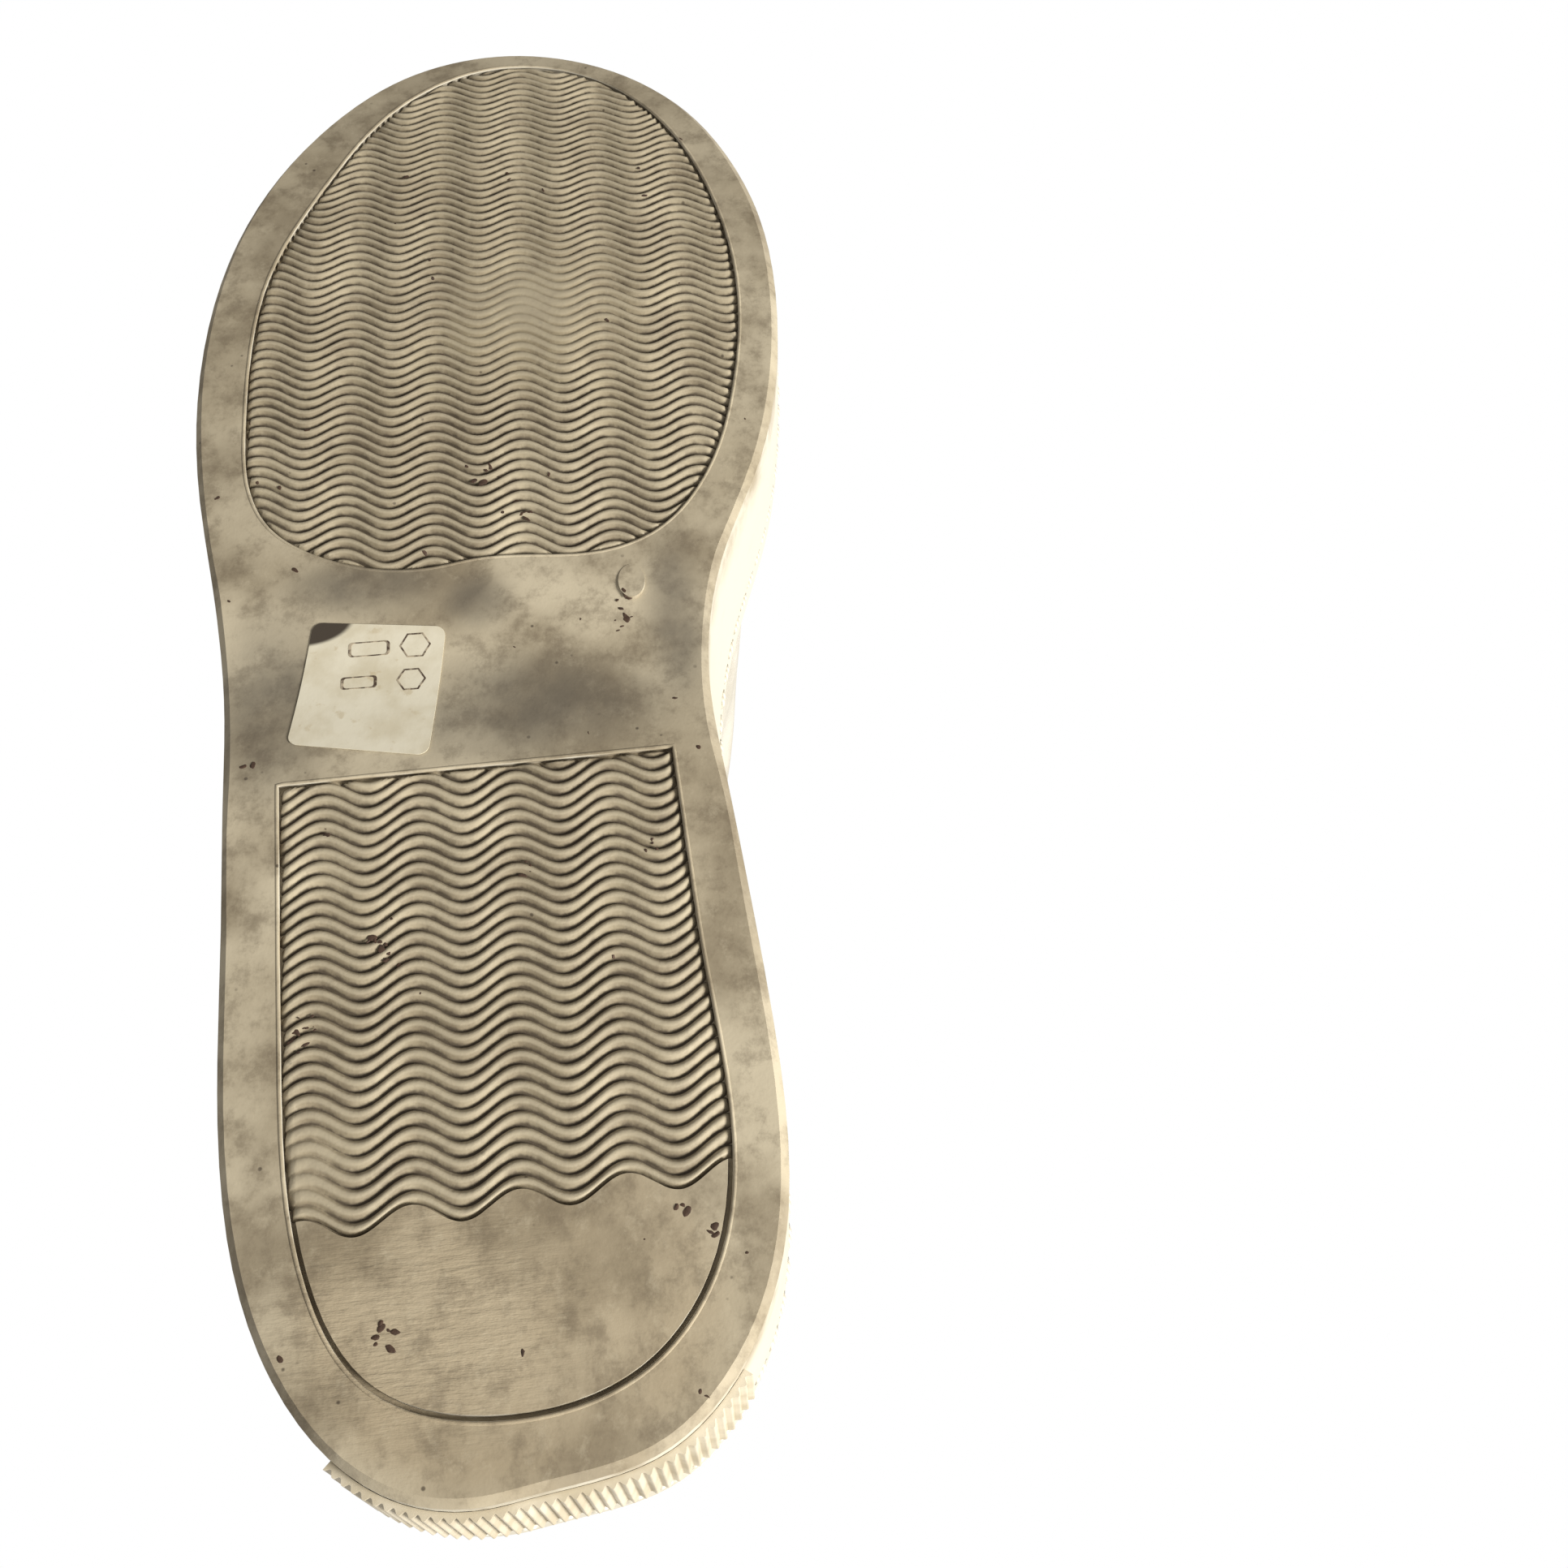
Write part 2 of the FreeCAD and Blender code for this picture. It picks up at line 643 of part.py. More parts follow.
def heel_tab():
    """Small patch over the top of the back seam."""
    top = COLLAR_HEIGHT
    patch = block([(BACK, top - 30), (8, top - 30), (22, top - 14), (24, top + 20), (BACK, top + 20)])
    return solid(shell(OVERLAY_IN, OVERLAY_OUT, patch, below_collar(BINDING)))


def back_seam_strip():
    """Narrow tape over the seam at the back of the heel."""
    low = RIM_HEEL + 0.4
    strip = plan_block([(-40, -3.5), (30, -3.5), (30, 3.5), (-40, 3.5)], low, COLLAR_HEIGHT - 30.0 - SEAM)
    return solid(shell(OVERLAY_IN, OVERLAY_IN + 0.7, strip))


def eyelet_places():
    """Centre and outward direction of each eyelet, on the outer face of the eyestays."""
    surface = grown_foot(OVERLAY_OUT)
    places = []
    first = THROAT_START + EYELET_FIRST
    last = THROAT_END - EYELET_LAST
    for row in range(EYELET_ROWS):
        x = first + (last - first) * row / (EYELET_ROWS - 1)
        half = throat_half(x) + EYELET_EDGE
        for side in (-1, 1):
            line = Part.makeLine(V(x, side * half, 40), V(x, side * half, 150))
            crossings = line.common(surface).Vertexes
            top = max((vertex.Point for vertex in crossings), key=lambda p: p.z)
            face = min(surface.Faces, key=lambda f: f.distToShape(Part.Vertex(top))[0])
            u, v = face.Surface.parameter(top)
            normal = face.normalAt(u, v)
            if normal.z < 0:
                normal = -normal
            places.append((top, normal))
    return places


def punched(shape, holes):
    """A layer with the holes near it cut one by one."""
    for hole in holes:
        if shape.distToShape(hole)[0] < 0.01:
            shape = shape.cut(hole)
    return solid(shape)


def eyelet_holes(places):
    depth = OVERLAY_OUT + 3.0
    return [Part.makeCylinder(EYELET_BORE + EYELET_WALL + GLUE, depth, top + normal * 1.0, -normal)
            for top, normal in places]


def lace_eyelets(places):
    """Rolled metal eyelets: a barrel through the layers and a flange on top."""
    rings = []
    depth = OVERLAY_OUT - 0.2
    for top, normal in places:
        flange = Part.makeCylinder(EYELET_FLANGE, 0.55, top + normal * 0.25, normal)
        barrel = Part.makeCylinder(EYELET_BORE + EYELET_WALL, depth, top + normal * 0.3, -normal)
        bore = Part.makeCylinder(EYELET_BORE, depth + 4.0, top + normal * 2.0, -normal)
        rings.append(flange.fuse(barrel).cut(bore).removeSplitter().Solids[0])
    return Part.makeCompound(rings)


# --- tongue ------------------------------------------------------------------------------------

TONGUE_BASE = THROAT_END - 4.0


def tongue_layer(inner, outer, shrink):
    """One layer of the tongue, from its stitched base to its tip."""
    half = TONGUE_HALF - shrink
    base = THROAT_FRONT_HALF + 4.0 - shrink
    plan = plan_block([(60, -half), (THROAT_START, -half), (TONGUE_BASE, -base), (TONGUE_BASE, base),
                       (THROAT_START, half), (60, half)])
    top = TONGUE_HEIGHT - shrink
    side = block([(THROAT_START - 30, top - 12), (THROAT_START - 16, top), (THROAT_START + 10, top),
                  (TONGUE_BASE - shrink, top), (TONGUE_BASE - shrink, 40), (THROAT_START + 20, 40)])
    return solid(shell(inner, outer, plan.common(side)))


def lace_keeper():
    """Small loop of tape on the tongue that the laces pass through."""
    x = THROAT_START + 4.0
    patch = plan_block([(x, -7), (x + 9, -7), (x + 9, 7), (x, 7)], 80.0, 160.0)
    return solid(shell(-TONGUE_GAP + GLUE, -TONGUE_GAP + GLUE + 0.35, patch))


def build():
    places = eyelet_places()
    holes = eyelet_holes(places)
    leather = leather_layer()
    quarters = leather.common(behind_seam(SEAM / 2))
    lining = lining_layer(0.0, LINING, COLLAR_DROP + BINDING)
    full_lining = lining_layer(0.0, LINING, BINDING)
    joined = COLLAR_FRONT + SEAM
    instep = block([(joined, LOW), (joined, HIGH), (FRONT, HIGH), (FRONT, LOW)])
    quarter_lining = lining.common(behind_tongue())
    vamp_lining = full_lining.common(instep)
    skin = -TONGUE_GAP
    foam = skin - TONGUE_LAYER - GLUE
    back = foam - TONGUE_FOAM - GLUE
    parts = {
        "cupsole": cupsole(),
        "heel_rib_band": heel_rib_band(),
        "material_label": material_label(),
        "foam_wedge": foam_wedge(),
        "insole_board": insole_board(),
        "footbed": footbed(),
        "vamp": leather_piece(leather, in_front_of_seam(SEAM / 2), holes),
        "lateral_quarter": leather_piece(quarters, outer_half(), holes),
        "medial_quarter": leather_piece(quarters, inner_half(), holes),
        "quarter_lining": solid(quarter_lining),
        "vamp_lining": punched(vamp_lining, holes),
        "toe_puff": toe_puff(),
        "heel_stiffener": heel_stiffener(),
        "collar_foam": collar_roll(-COLLAR_PAD, LINING, BINDING, COLLAR_DROP),
        "collar_lining": collar_roll(-COLLAR_PAD - COLLAR_LINING, -COLLAR_PAD - GLUE, BINDING, COLLAR_DROP),
        "collar_binding": collar_binding(),
        "lateral_eyestay": punched(eyestay(-1), holes),
        "medial_eyestay": punched(eyestay(1), holes),
        "heel_tab": heel_tab(),
        "back_seam_strip": back_seam_strip(),
        "lace_eyelets": lace_eyelets(places),
        "tongue_cover": tongue_layer(skin - TONGUE_LAYER, skin, 0.0),
        "tongue_foam": tongue_layer(foam - TONGUE_FOAM, foam, 1.5),
        "tongue_lining": tongue_layer(back - TONGUE_LAYER, back, 0.0),
        "lace_keeper": lace_keeper(),
    }
    return parts


def main():
    os.makedirs("parts", exist_ok=True)
    parts = build()
    box = Part.makeCompound(list(parts.values())).optimalBoundingBox(False, False)
    middle = V(-(box.XMin + box.XMax) / 2, -(box.YMin + box.YMax) / 2, -box.ZMin)
    for name, shape in parts.items():
        placed = shape.copy()
        placed.translate(middle)
        placed.exportStep(os.path.join("parts", name + ".step"))
        size = placed.optimalBoundingBox(False, False)
        print(name, len(placed.Solids), placed.isValid(), round(placed.Volume / 1000, 2), "cm3",
              [round(v, 1) for v in (size.XMin, size.XMax, size.YMin, size.YMax, size.ZMin, size.ZMax)])
    print("moved by", middle)


main()
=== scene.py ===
import bmesh
import bpy
import math
from mathutils import Matrix, Vector, noise
from mathutils.bvhtree import BVHTree


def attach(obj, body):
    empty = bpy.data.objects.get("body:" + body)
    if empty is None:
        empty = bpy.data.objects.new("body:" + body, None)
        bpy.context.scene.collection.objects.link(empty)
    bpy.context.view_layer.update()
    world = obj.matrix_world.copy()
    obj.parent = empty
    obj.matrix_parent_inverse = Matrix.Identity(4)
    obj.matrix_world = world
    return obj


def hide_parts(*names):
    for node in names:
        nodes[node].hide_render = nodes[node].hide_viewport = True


# A worn court shoe for the right foot: rubber cupsole, leather upper, padded collar and tongue.
# Everything is in metres in the CAD frame: +X to the toe, +Y to the inner side, +Z up.

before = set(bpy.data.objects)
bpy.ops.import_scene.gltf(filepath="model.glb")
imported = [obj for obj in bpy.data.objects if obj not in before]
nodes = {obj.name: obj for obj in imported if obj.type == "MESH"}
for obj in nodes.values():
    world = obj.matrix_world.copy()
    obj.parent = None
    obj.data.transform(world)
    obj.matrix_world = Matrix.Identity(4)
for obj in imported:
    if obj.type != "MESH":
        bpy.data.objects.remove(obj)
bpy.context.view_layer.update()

MM = 0.001
HEEL_END = -150.1 * MM    # the rear end of the sole, where the lengths below are counted from
AXIS = 1.0 * MM           # the long axis of the sole, where the widths below are counted from

# Sizes of the part that the looks follow, as it is drawn
SOLE_LENGTH = 302.0 * MM
TOE_LIFT = 9.5 * MM       # the sole is lifted by this much at the toe tip
TOE_START = 0.69          # from here, as a share of its length
WAIST_LIFT = 1.6 * MM     # and by this much at the waist
WAIST_BACK = 0.36         # between these shares
WAIST_FRONT = 0.515
THROAT_CORNER = 202.5     # where the sides of the throat turn into its round front, in mm
THROAT_HALF = 10.5        # half width of the throat there
THROAT_FLARE = 3.5 / 142.5    # and how much it widens towards the ankle, per length
EYESTAY = 14.0            # width of each eyestay


def along(length, width, height=0.0):
    """A place given as millimetres from the heel end, from the long axis and above the ground."""
    return Vector((HEEL_END + length * MM, AXIS + width * MM, height * MM))


# --- nodes, colours and meshes -----------------------------------------------------------------

def colour(code):
    """Linear colour from an sRGB hex value."""
    parts = [int(code[i:i + 2], 16) / 255 for i in (0, 2, 4)]
    return tuple(p / 12.92 if p <= 0.04045 else ((p + 0.055) / 1.055) ** 2.4 for p in parts) + (1.0,)


def add(tree, kind, inputs=None, **settings):
    """Adds a node; each input takes a value or the socket that feeds it."""
    node = tree.nodes.new(kind)
    for name, value in settings.items():
        setattr(node, name, value)
    for key, value in (inputs or {}).items():
        if isinstance(value, bpy.types.NodeSocket):
            tree.links.new(value, node.inputs[key])
        elif value is not None:
            node.inputs[key].default_value = value
    return node


def use(tree, kind, inputs=None, **settings):
    """Adds a node and gives its first output."""
    return add(tree, kind, inputs, **settings).outputs[0]


def maths(tree, operation, a, b=None, c=None):
    return use(tree, "ShaderNodeMath", {0: a, 1: b, 2: c}, operation=operation)


def times(tree, a, b):
    return maths(tree, "MULTIPLY", a, b)


def xyz(tree, vector):
    """The X, Y and Z of a vector."""
    return add(tree, "ShaderNodeSeparateXYZ", {0: vector}).outputs


def joined(tree, x=None, y=None, z=None):
    """A vector from its X, Y and Z."""
    return use(tree, "ShaderNodeCombineXYZ", {0: x, 1: y, 2: z})


def ramp(tree, value, low, high, to_low=0.0, to_high=1.0, smooth=True):
    """Maps low..high to another range, held at its ends."""
    return use(tree, "ShaderNodeMapRange",
               {"Value": value, "From Min": low, "From Max": high, "To Min": to_low, "To Max": to_high},
               interpolation_type="SMOOTHSTEP" if smooth else "LINEAR")


def finished_mesh(obj, name):
    """The object with its modifiers applied, as a new piece at the origin."""
    graph = bpy.context.evaluated_depsgraph_get()
    mesh = bpy.data.meshes.new_from_object(obj.evaluated_get(graph), depsgraph=graph)
    mesh.name = name
    piece = bpy.data.objects.new(name, mesh)
    bpy.context.scene.collection.objects.link(piece)
    old = obj.data
    bpy.data.objects.remove(obj)
    if old.users == 0 and isinstance(old, bpy.types.Mesh):
        bpy.data.meshes.remove(old)
    return piece


def piece_of(name, bm, smooth=True):
    mesh = bpy.data.meshes.new(name)
    bm.to_mesh(mesh)
    bm.free()
    mesh.shade_smooth() if smooth else mesh.shade_flat()
    piece = bpy.data.objects.new(name, mesh)
    bpy.context.scene.collection.objects.link(piece)
    return piece


def merged(*names):
    """One bmesh of CAD nodes with their loose triangles joined."""
    bm = bmesh.new()
    for name in names:
        before = set(bm.verts)
        bm.from_mesh(nodes[name].data)
        added = [vert for vert in bm.verts if vert not in before]
        bmesh.ops.transform(bm, matrix=nodes[name].matrix_world, verts=added)
    bmesh.ops.remove_doubles(bm, verts=bm.verts, dist=0.01 * MM)
    return bm


def tree_of(*names):
    bm = merged(*names)
    tree = BVHTree.FromBMesh(bm)
    bm.free()
    return tree


def rides(piece, body, slot, *replaced):
    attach(piece, body)
    if replaced:
        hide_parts(*replaced)


# --- camera and light --------------------------------------------------------------------------

scene = bpy.context.scene
scene.view_settings.view_transform = "Standard"
camera = bpy.data.objects.new("camera", bpy.data.cameras.new("camera"))
scene.collection.objects.link(camera)
scene.camera = camera
camera.data.lens = 39.8
camera.data.clip_start = 0.01
camera.location = (-0.1854, 0.0338, -0.2430)
forward = (Vector((-0.0457, 0.0465, 0.0)) - camera.location).normalized()
toe_up = Vector((0.862, 0.078, -0.5))
right = forward.cross(toe_up).normalized()
up = right.cross(forward)
camera.rotation_euler = Matrix((right, up, -forward)).transposed().to_euler()


def softbox(name, place, target, size, power, tint):
    lamp = bpy.data.lights.new(name, "AREA")
    lamp.shape = "DISK"
    lamp.size = size
    lamp.energy = power
    lamp.color = colour(tint)[:3]
    holder = bpy.data.objects.new(name, lamp)
    scene.collection.objects.link(holder)
    holder.location = place
    holder.rotation_euler = (Vector(target) - Vector(place)).to_track_quat("-Z", "Y").to_euler()


softbox("sole_key", (-0.70, 0.92, -0.50), (0.0, 0.0, 0.0), 0.42, 24.0, "fffaf0")
softbox("upper_key", (-0.45, -0.75, 0.85), (0.0, 0.0, 0.04), 0.6, 6.0, "ffffff")
softbox("upper_fill", (0.75, 0.70, 0.60), (0.0, 0.0, 0.04), 0.8, 3.5, "f6f9ff")

world = bpy.data.worlds.new("studio")
scene.world = world
world.use_nodes = True
sky = world.node_tree
sky.nodes.clear()
paths = add(sky, "ShaderNodeLightPath")
pale = use(sky, "ShaderNodeBackground", {"Color": (1.0, 1.0, 1.0, 1.0), "Strength": 1.0})
dim = use(sky, "ShaderNodeBackground", {"Color": colour("fffaf2"), "Strength": 0.36})
seen = use(sky, "ShaderNodeMixShader", {0: paths.outputs["Is Camera Ray"], 1: dim, 2: pale})
add(sky, "ShaderNodeOutputWorld", {"Surface": seen})


# --- materials ---------------------------------------------------------------------------------

def blank_material(name):
    made = bpy.data.materials.new(name)
    made.use_nodes = True
    made.node_tree.nodes.clear()
    return made, made.node_tree


def material(name):
    """A new material, its node tree and the socket that tells the place on the shoe."""
    made, tree = blank_material(name)
    return made, tree, add(tree, "ShaderNodeTexCoord").outputs["Object"]


def finish_surface(tree, base, roughness, bumps, **shader):
    """Ends a material: base colour, roughness, a stack of (height, strength, distance in mm)."""
    normal = None
    for height, strength, distance in bumps:
        normal = use(tree, "ShaderNodeBump", {"Height": height, "Strength": strength,
                                              "Distance": distance * MM, "Normal": normal})
    values = {"Base Color": base, "Roughness": roughness, "Normal": normal}
    values.update(shader)
    surface = use(tree, "ShaderNodeBsdfPrincipled", values)
    add(tree, "ShaderNodeOutputMaterial", {"Surface": surface})


def openness(tree, reach_mm):
    """1 on an open face, less in a groove or a corner."""
    return add(tree, "ShaderNodeAmbientOcclusion", {"Distance": reach_mm * MM}, samples=8).outputs["AO"]


def spots(tree, place, scale_mm, detail=3.0, stretch=(1.0, 1.0, 1.0), roughness=0.55):
    """Noise whose features are about scale_mm across."""
    mapped = use(tree, "ShaderNodeMapping", {"Vector": place, "Scale": stretch})
    return use(tree, "ShaderNodeTexNoise", {"Vector": mapped, "Scale": 1.0 / (scale_mm * MM),
                                            "Detail": detail, "Roughness": roughness})


def blended(tree, share, first, second, kind="MIX"):
    """Mixes two colours, each an sRGB hex value or a socket."""
    made = add(tree, "ShaderNodeMix", {0: share, 6: colour(first) if isinstance(first, str) else first,
                                       7: colour(second) if isinstance(second, str) else second},
               data_type="RGBA", blend_type=kind)
    return made.outputs[2]


def clouded(tree, place, scale_mm, first, second, detail=5.0, low=0.35, high=0.65, roughness=0.55):
    """Two colours that drift into each other in clouds."""
    cloud = ramp(tree, spots(tree, place, scale_mm, detail, roughness=roughness), low, high)
    return blended(tree, cloud, first, second)


def patch(tree, place, length, width, size_x, size_y, soft=0.6):
    """1 inside a soft oval on the sole, 0 outside it."""
    middle = along(length, width)
    scale_x = 1 / (size_x * MM)
    scale_y = 1 / (size_y * MM)
    moved = use(tree, "ShaderNodeMapping", {"Vector": place, "Scale": (scale_x, scale_y, 0.0),
                                            "Location": (-middle.x * scale_x, -middle.y * scale_y, 0.0)})
    distance = add(tree, "ShaderNodeVectorMath", {0: moved}, operation="LENGTH").outputs["Value"]
    return ramp(tree, distance, 1.0, soft)


def soil(tree, place, base, amount=1.0):
    """Walked-in dirt: broad cloudy soiling, then fine dark grains pressed into the rubber."""
    cloud = ramp(tree, spots(tree, place, 24.0, 6.0), 0.40, 0.64)
    soiled = blended(tree, times(tree, cloud, 0.78 * amount), base, "857964")
    mottled = ramp(tree, spots(tree, place, 6.0, 6.0, roughness=0.75), 0.46, 0.66)
    soiled = blended(tree, times(tree, mottled, 0.42 * amount), soiled, "6f6352")
    worn = ramp(tree, spots(tree, place, 3.4, 5.0, roughness=0.75), 0.50, 0.72)
    soiled = blended(tree, times(tree, worn, 0.26 * amount), soiled, "d2c8b0")
    grains = add(tree, "ShaderNodeTexVoronoi", {"Vector": place, "Scale": 260.0, "Randomness": 1.0},
                 feature="F1").outputs["Distance"]
    gathered = ramp(tree, spots(tree, place, 14.0), 0.5, 0.62)
    pepper = times(tree, ramp(tree, grains, 0.11, 0.05), gathered)
    return blended(tree, times(tree, pepper, 0.8 * amount), soiled, "372c22")


# Soft ovals of soot and painted shade on the waist: length and width on the sole, half their size along and
# across
WAIST_SOOT_AND_SHADE = ((124.0, 4.0, 15.0, 34.0), (129.0, -38.0, 27.0, 14.0), (150.0, -24.0, 9.0, 20.0),
              (140.0, 30.0, 24.0, 8.0), (146.0, -4.0, 8.0, 9.0))


def worn_sole_rubber():
    """Moulded vulcanised rubber, white when new: the bottom walked to a dull soiled beige with grey soot and
    painted shade across the waist, painted shade and dirt in its grooves and corners, the wall still white
    with scuffs near the ground."""
    made, tree, place = material("worn_sole_rubber")
    facing = add(tree, "ShaderNodeNewGeometry").outputs["Normal"]
    bottom = ramp(tree, xyz(tree, facing)["Z"], -0.25, -0.80)
    beige = clouded(tree, place, 40.0, "cbc1aa", "b0a58e", 4.0)
    pad = patch(tree, place, 26.0, 0.0, 28.0, 34.0, 0.75)
    beige = blended(tree, times(tree, pad, 0.55), beige, "a6967b")
    # Grey ovals across the waist: soot and painted shade
    soot_and_shade = 0.0
    for length, width, long, wide in WAIST_SOOT_AND_SHADE:
        soot_and_shade = maths(tree, "MAXIMUM", patch(tree, place, length, width, long, wide, 0.15), soot_and_shade)
    patchy = ramp(tree, spots(tree, place, 16.0, 5.0, roughness=0.6), 0.32, 0.62, 0.55, 1.0)
    soot_and_shade = times(tree, times(tree, soot_and_shade, patchy), 0.78)
    underside = blended(tree, soot_and_shade, soil(tree, place, beige), "625c52")
    wall_low = ramp(tree, xyz(tree, place)["Z"], 10.0 * MM, 1.0 * MM)
    scuffs = times(tree, wall_low, ramp(tree, spots(tree, place, 9.0, 6.0), 0.35, 0.62))
    wall = blended(tree, scuffs, "d6d1c3", "a99d86")
    streaks = ramp(tree, spots(tree, place, 2.4, 4.0, (0.25, 0.25, 1.6)), 0.55, 0.75)
    wall = blended(tree, times(tree, streaks, 0.22), wall, "c9c1ad")
    base = blended(tree, bottom, wall, underside)
    # Darker in grooves and corners that are closed in: painted shade and dirt
    base = blended(tree, ramp(tree, openness(tree, 1.6), 0.60, 0.15, 0.0, 0.45), base, "7a6e5c")
    grain = spots(tree, place, 0.55, 3.0)
    scraped = spots(tree, place, 1.1, 4.0, (1.0, 0.16, 1.0), 0.65)
    ground_in = times(tree, scraped, patch(tree, place, 24.0, -12.0, 24.0, 30.0, 0.3))
    dents = spots(tree, place, 6.0)
    rough = ramp(tree, spots(tree, place, 12.0), 0.3, 0.7, 0.62, 0.82)
    bumps = ((grain, 0.22, 0.12), (ground_in, 0.9, 0.35), (dents, 0.3, 0.25))
    finish_surface(tree, base, rough, bumps, IOR=1.52)
    return made


def worn_tread_rubber():
    """The same rubber on the wavy ridges: soiled, polished and given a painted highlight on the crests, dark
    dirt and painted shade in the grooves.
    """
    made, tree, place = material("worn_tread_rubber")
    groove = add(tree, "ShaderNodeAttribute", attribute_name="groove").outputs["Fac"]
    crest = clouded(tree, place, 34.0, "b6ab93", "9c917a", low=0.36, high=0.64)
    ball = patch(tree, place, 216.0, 8.0, 52.0, 36.0, 0.1)
    crest = blended(tree, times(tree, ball, 0.45), crest, "8f8369")
    crest = soil(tree, place, crest, 0.9)
    broken = maths(tree, "ADD", groove, ramp(tree, spots(tree, place, 2.2, 4.0), 0.3, 0.7, -0.16, 0.16))
    # Dark in the grooves: painted shade and dirt
    base = blended(tree, ramp(tree, broken, 0.26, 0.80, 0.0, 0.92), crest, "4f4538")
    # Lighter on the crests: painted highlight and polish from wear
    base = blended(tree, ramp(tree, groove, 0.20, 0.0, 0.0, 0.45), base, "cfc5ad")
    rough = ramp(tree, groove, 0.0, 0.7, 0.58, 0.88)
    finish_surface(tree, base, rough, ((spots(tree, place, 0.5, 3.0), 0.25, 0.10),
                                       (spots(tree, place, 2.0, 4.0), 0.35, 0.18)), IOR=1.52)
    return made


def ribbed_rubber():
    """Extruded rubber foxing strip, still light, with grey dirt and painted shade in the bottom of each
    groove.
    """
    made, tree, place = material("ribbed_rubber")
    base = clouded(tree, place, 8.0, "ded6c4", "c8bea8")
    # Darker in the bottom of each groove: painted shade and grey dirt
    base = blended(tree, ramp(tree, openness(tree, 1.0), 0.85, 0.35, 0.0, 0.7), base, "9c917b")
    finish_surface(tree, base, 0.6, ((spots(tree, place, 0.6), 0.2, 0.1),), IOR=1.52)
    return made


def scuffed_paper():
    """Coated sticker paper, rubbed and soiled at its rim, with fine fibre relief."""
    made, tree, place = material("scuffed_paper")
    base = clouded(tree, place, 7.0, "e4dfcd", "d3cbb4", high=0.7)
    yellowed = ramp(tree, spots(tree, place, 2.5, 5.0), 0.60, 0.72)
    base = blended(tree, times(tree, yellowed, 0.35), base, "b09a6c")
    # Dark at the peeled corner: torn paper and a painted shadow
    peeled_with_shadow = patch(tree, place, 144.5, -33.5, 5.5, 9.0, 0.85)
    base = blended(tree, peeled_with_shadow, base, "443c33")
    fibres = spots(tree, place, 0.4)
    waves = spots(tree, place, 5.0)
    finish_surface(tree, base, 0.55, ((fibres, 0.2, 0.05), (waves, 0.5, 0.12)), IOR=1.5)
    return made


def faded_ink():
    """Printed line that has partly rubbed off."""
    made, tree, place = material("faded_ink")
    base = clouded(tree, place, 1.4, "4a3a30", "b9ad98", 4.0, 0.4, 0.62)
    finish_surface(tree, base, 0.6, ((spots(tree, place, 0.5), 0.1, 0.02),))
    return made


def dried_residue():
    """Dark brown dried dirt and tar flecks."""
    made, tree, place = material("dried_residue")
    base = blended(tree, spots(tree, place, 1.2, 4.0), "2a201a", "5b4334")
    finish_surface(tree, base, 0.7, ((spots(tree, place, 0.5), 0.5, 0.15),))
    return made


def full_grain_leather(name, light, shade, crease=0.5):
    """Full-grain leather, pigmented and worn in: pebbled grain with pores, soft creases, dull sheen."""
    made, tree, place = material(name)
    base = clouded(tree, place, 24.0, light, shade, high=0.68)
    cells = use(tree, "ShaderNodeTexVoronoi",
                {"Vector": place, "Scale": 1.0 / (0.9 * MM), "Randomness": 1.0}, feature="DISTANCE_TO_EDGE")
    pebble = ramp(tree, cells, 0.0, 0.18)
    base = blended(tree, ramp(tree, cells, 0.06, 0.0, 0.0, 0.22), base, shade)
    # Darker low on the upper, near the sole: stains and painted shade
    low = ramp(tree, xyz(tree, place)["Z"], 52.0 * MM, 22.0 * MM)
    stain_and_shade = times(tree, low, ramp(tree, spots(tree, place, 8.0, 6.0), 0.42, 0.66))
    base = blended(tree, times(tree, stain_and_shade, 0.55), base, "a49b88")
    creases = ramp(tree, spots(tree, place, 7.0, 3.0, (1.0, 0.30, 0.6), 0.5), 0.30, 0.62)
    rough = ramp(tree, spots(tree, place, 10.0), 0.3, 0.7, 0.40, 0.56)
    pores = spots(tree, place, 0.5)
    bumps = ((pebble, 0.25, 0.12), (creases, crease, 0.8), (pores, 0.15, 0.05))
    finish_surface(tree, base, rough, bumps, IOR=1.5)
    return made


def spacer_mesh(name, light, dark):
    """Warp-knitted polyester lining: small open cells in offset rows with a soft nap."""
    made, tree, place = material(name)
    cells = use(tree, "ShaderNodeTexVoronoi",
                {"Vector": place, "Scale": 1.0 / (1.6 * MM), "Randomness": 0.12}, feature="F1")
    hole = ramp(tree, cells, 0.34, 0.20)
    base = clouded(tree, place, 20.0, light, dark, 4.0)
    base = blended(tree, times(tree, hole, 0.75), base, dark)
    knit = maths(tree, "SUBTRACT", 1.0, hole)
    nap = spots(tree, place, 0.4)
    finish_surface(tree, base, 0.9, ((knit, 0.6, 0.4), (nap, 0.3, 0.1)),
                   **{"Sheen Weight": 0.25, "Sheen Roughness": 0.5})
    return made


def pressed_stock(name, light, dark, scale_mm, roughness=0.85):
    """Fibre board, foam or stiffener: matt stock with a grain of its own."""
    made, tree, place = material(name)
    base = clouded(tree, place, scale_mm, light, dark, roughness=0.7)
    finish_surface(tree, base, roughness, ((spots(tree, place, scale_mm * 0.4), 0.4, 0.2),))
    return made


def nickel_plate():
    """Nickel-plated brass, pressed and tumbled: soft satin metal with fine rubbing marks."""
    made, tree, place = material("nickel_plate")
    base = clouded(tree, place, 3.0, "d2d0ca", "b3b0a8", low=0.4)
    rough = ramp(tree, spots(tree, place, 1.2, 4.0), 0.3, 0.7, 0.22, 0.42)
    finish_surface(tree, base, rough, ((spots(tree, place, 0.5), 0.1, 0.03),), Metallic=1.0)
    return made


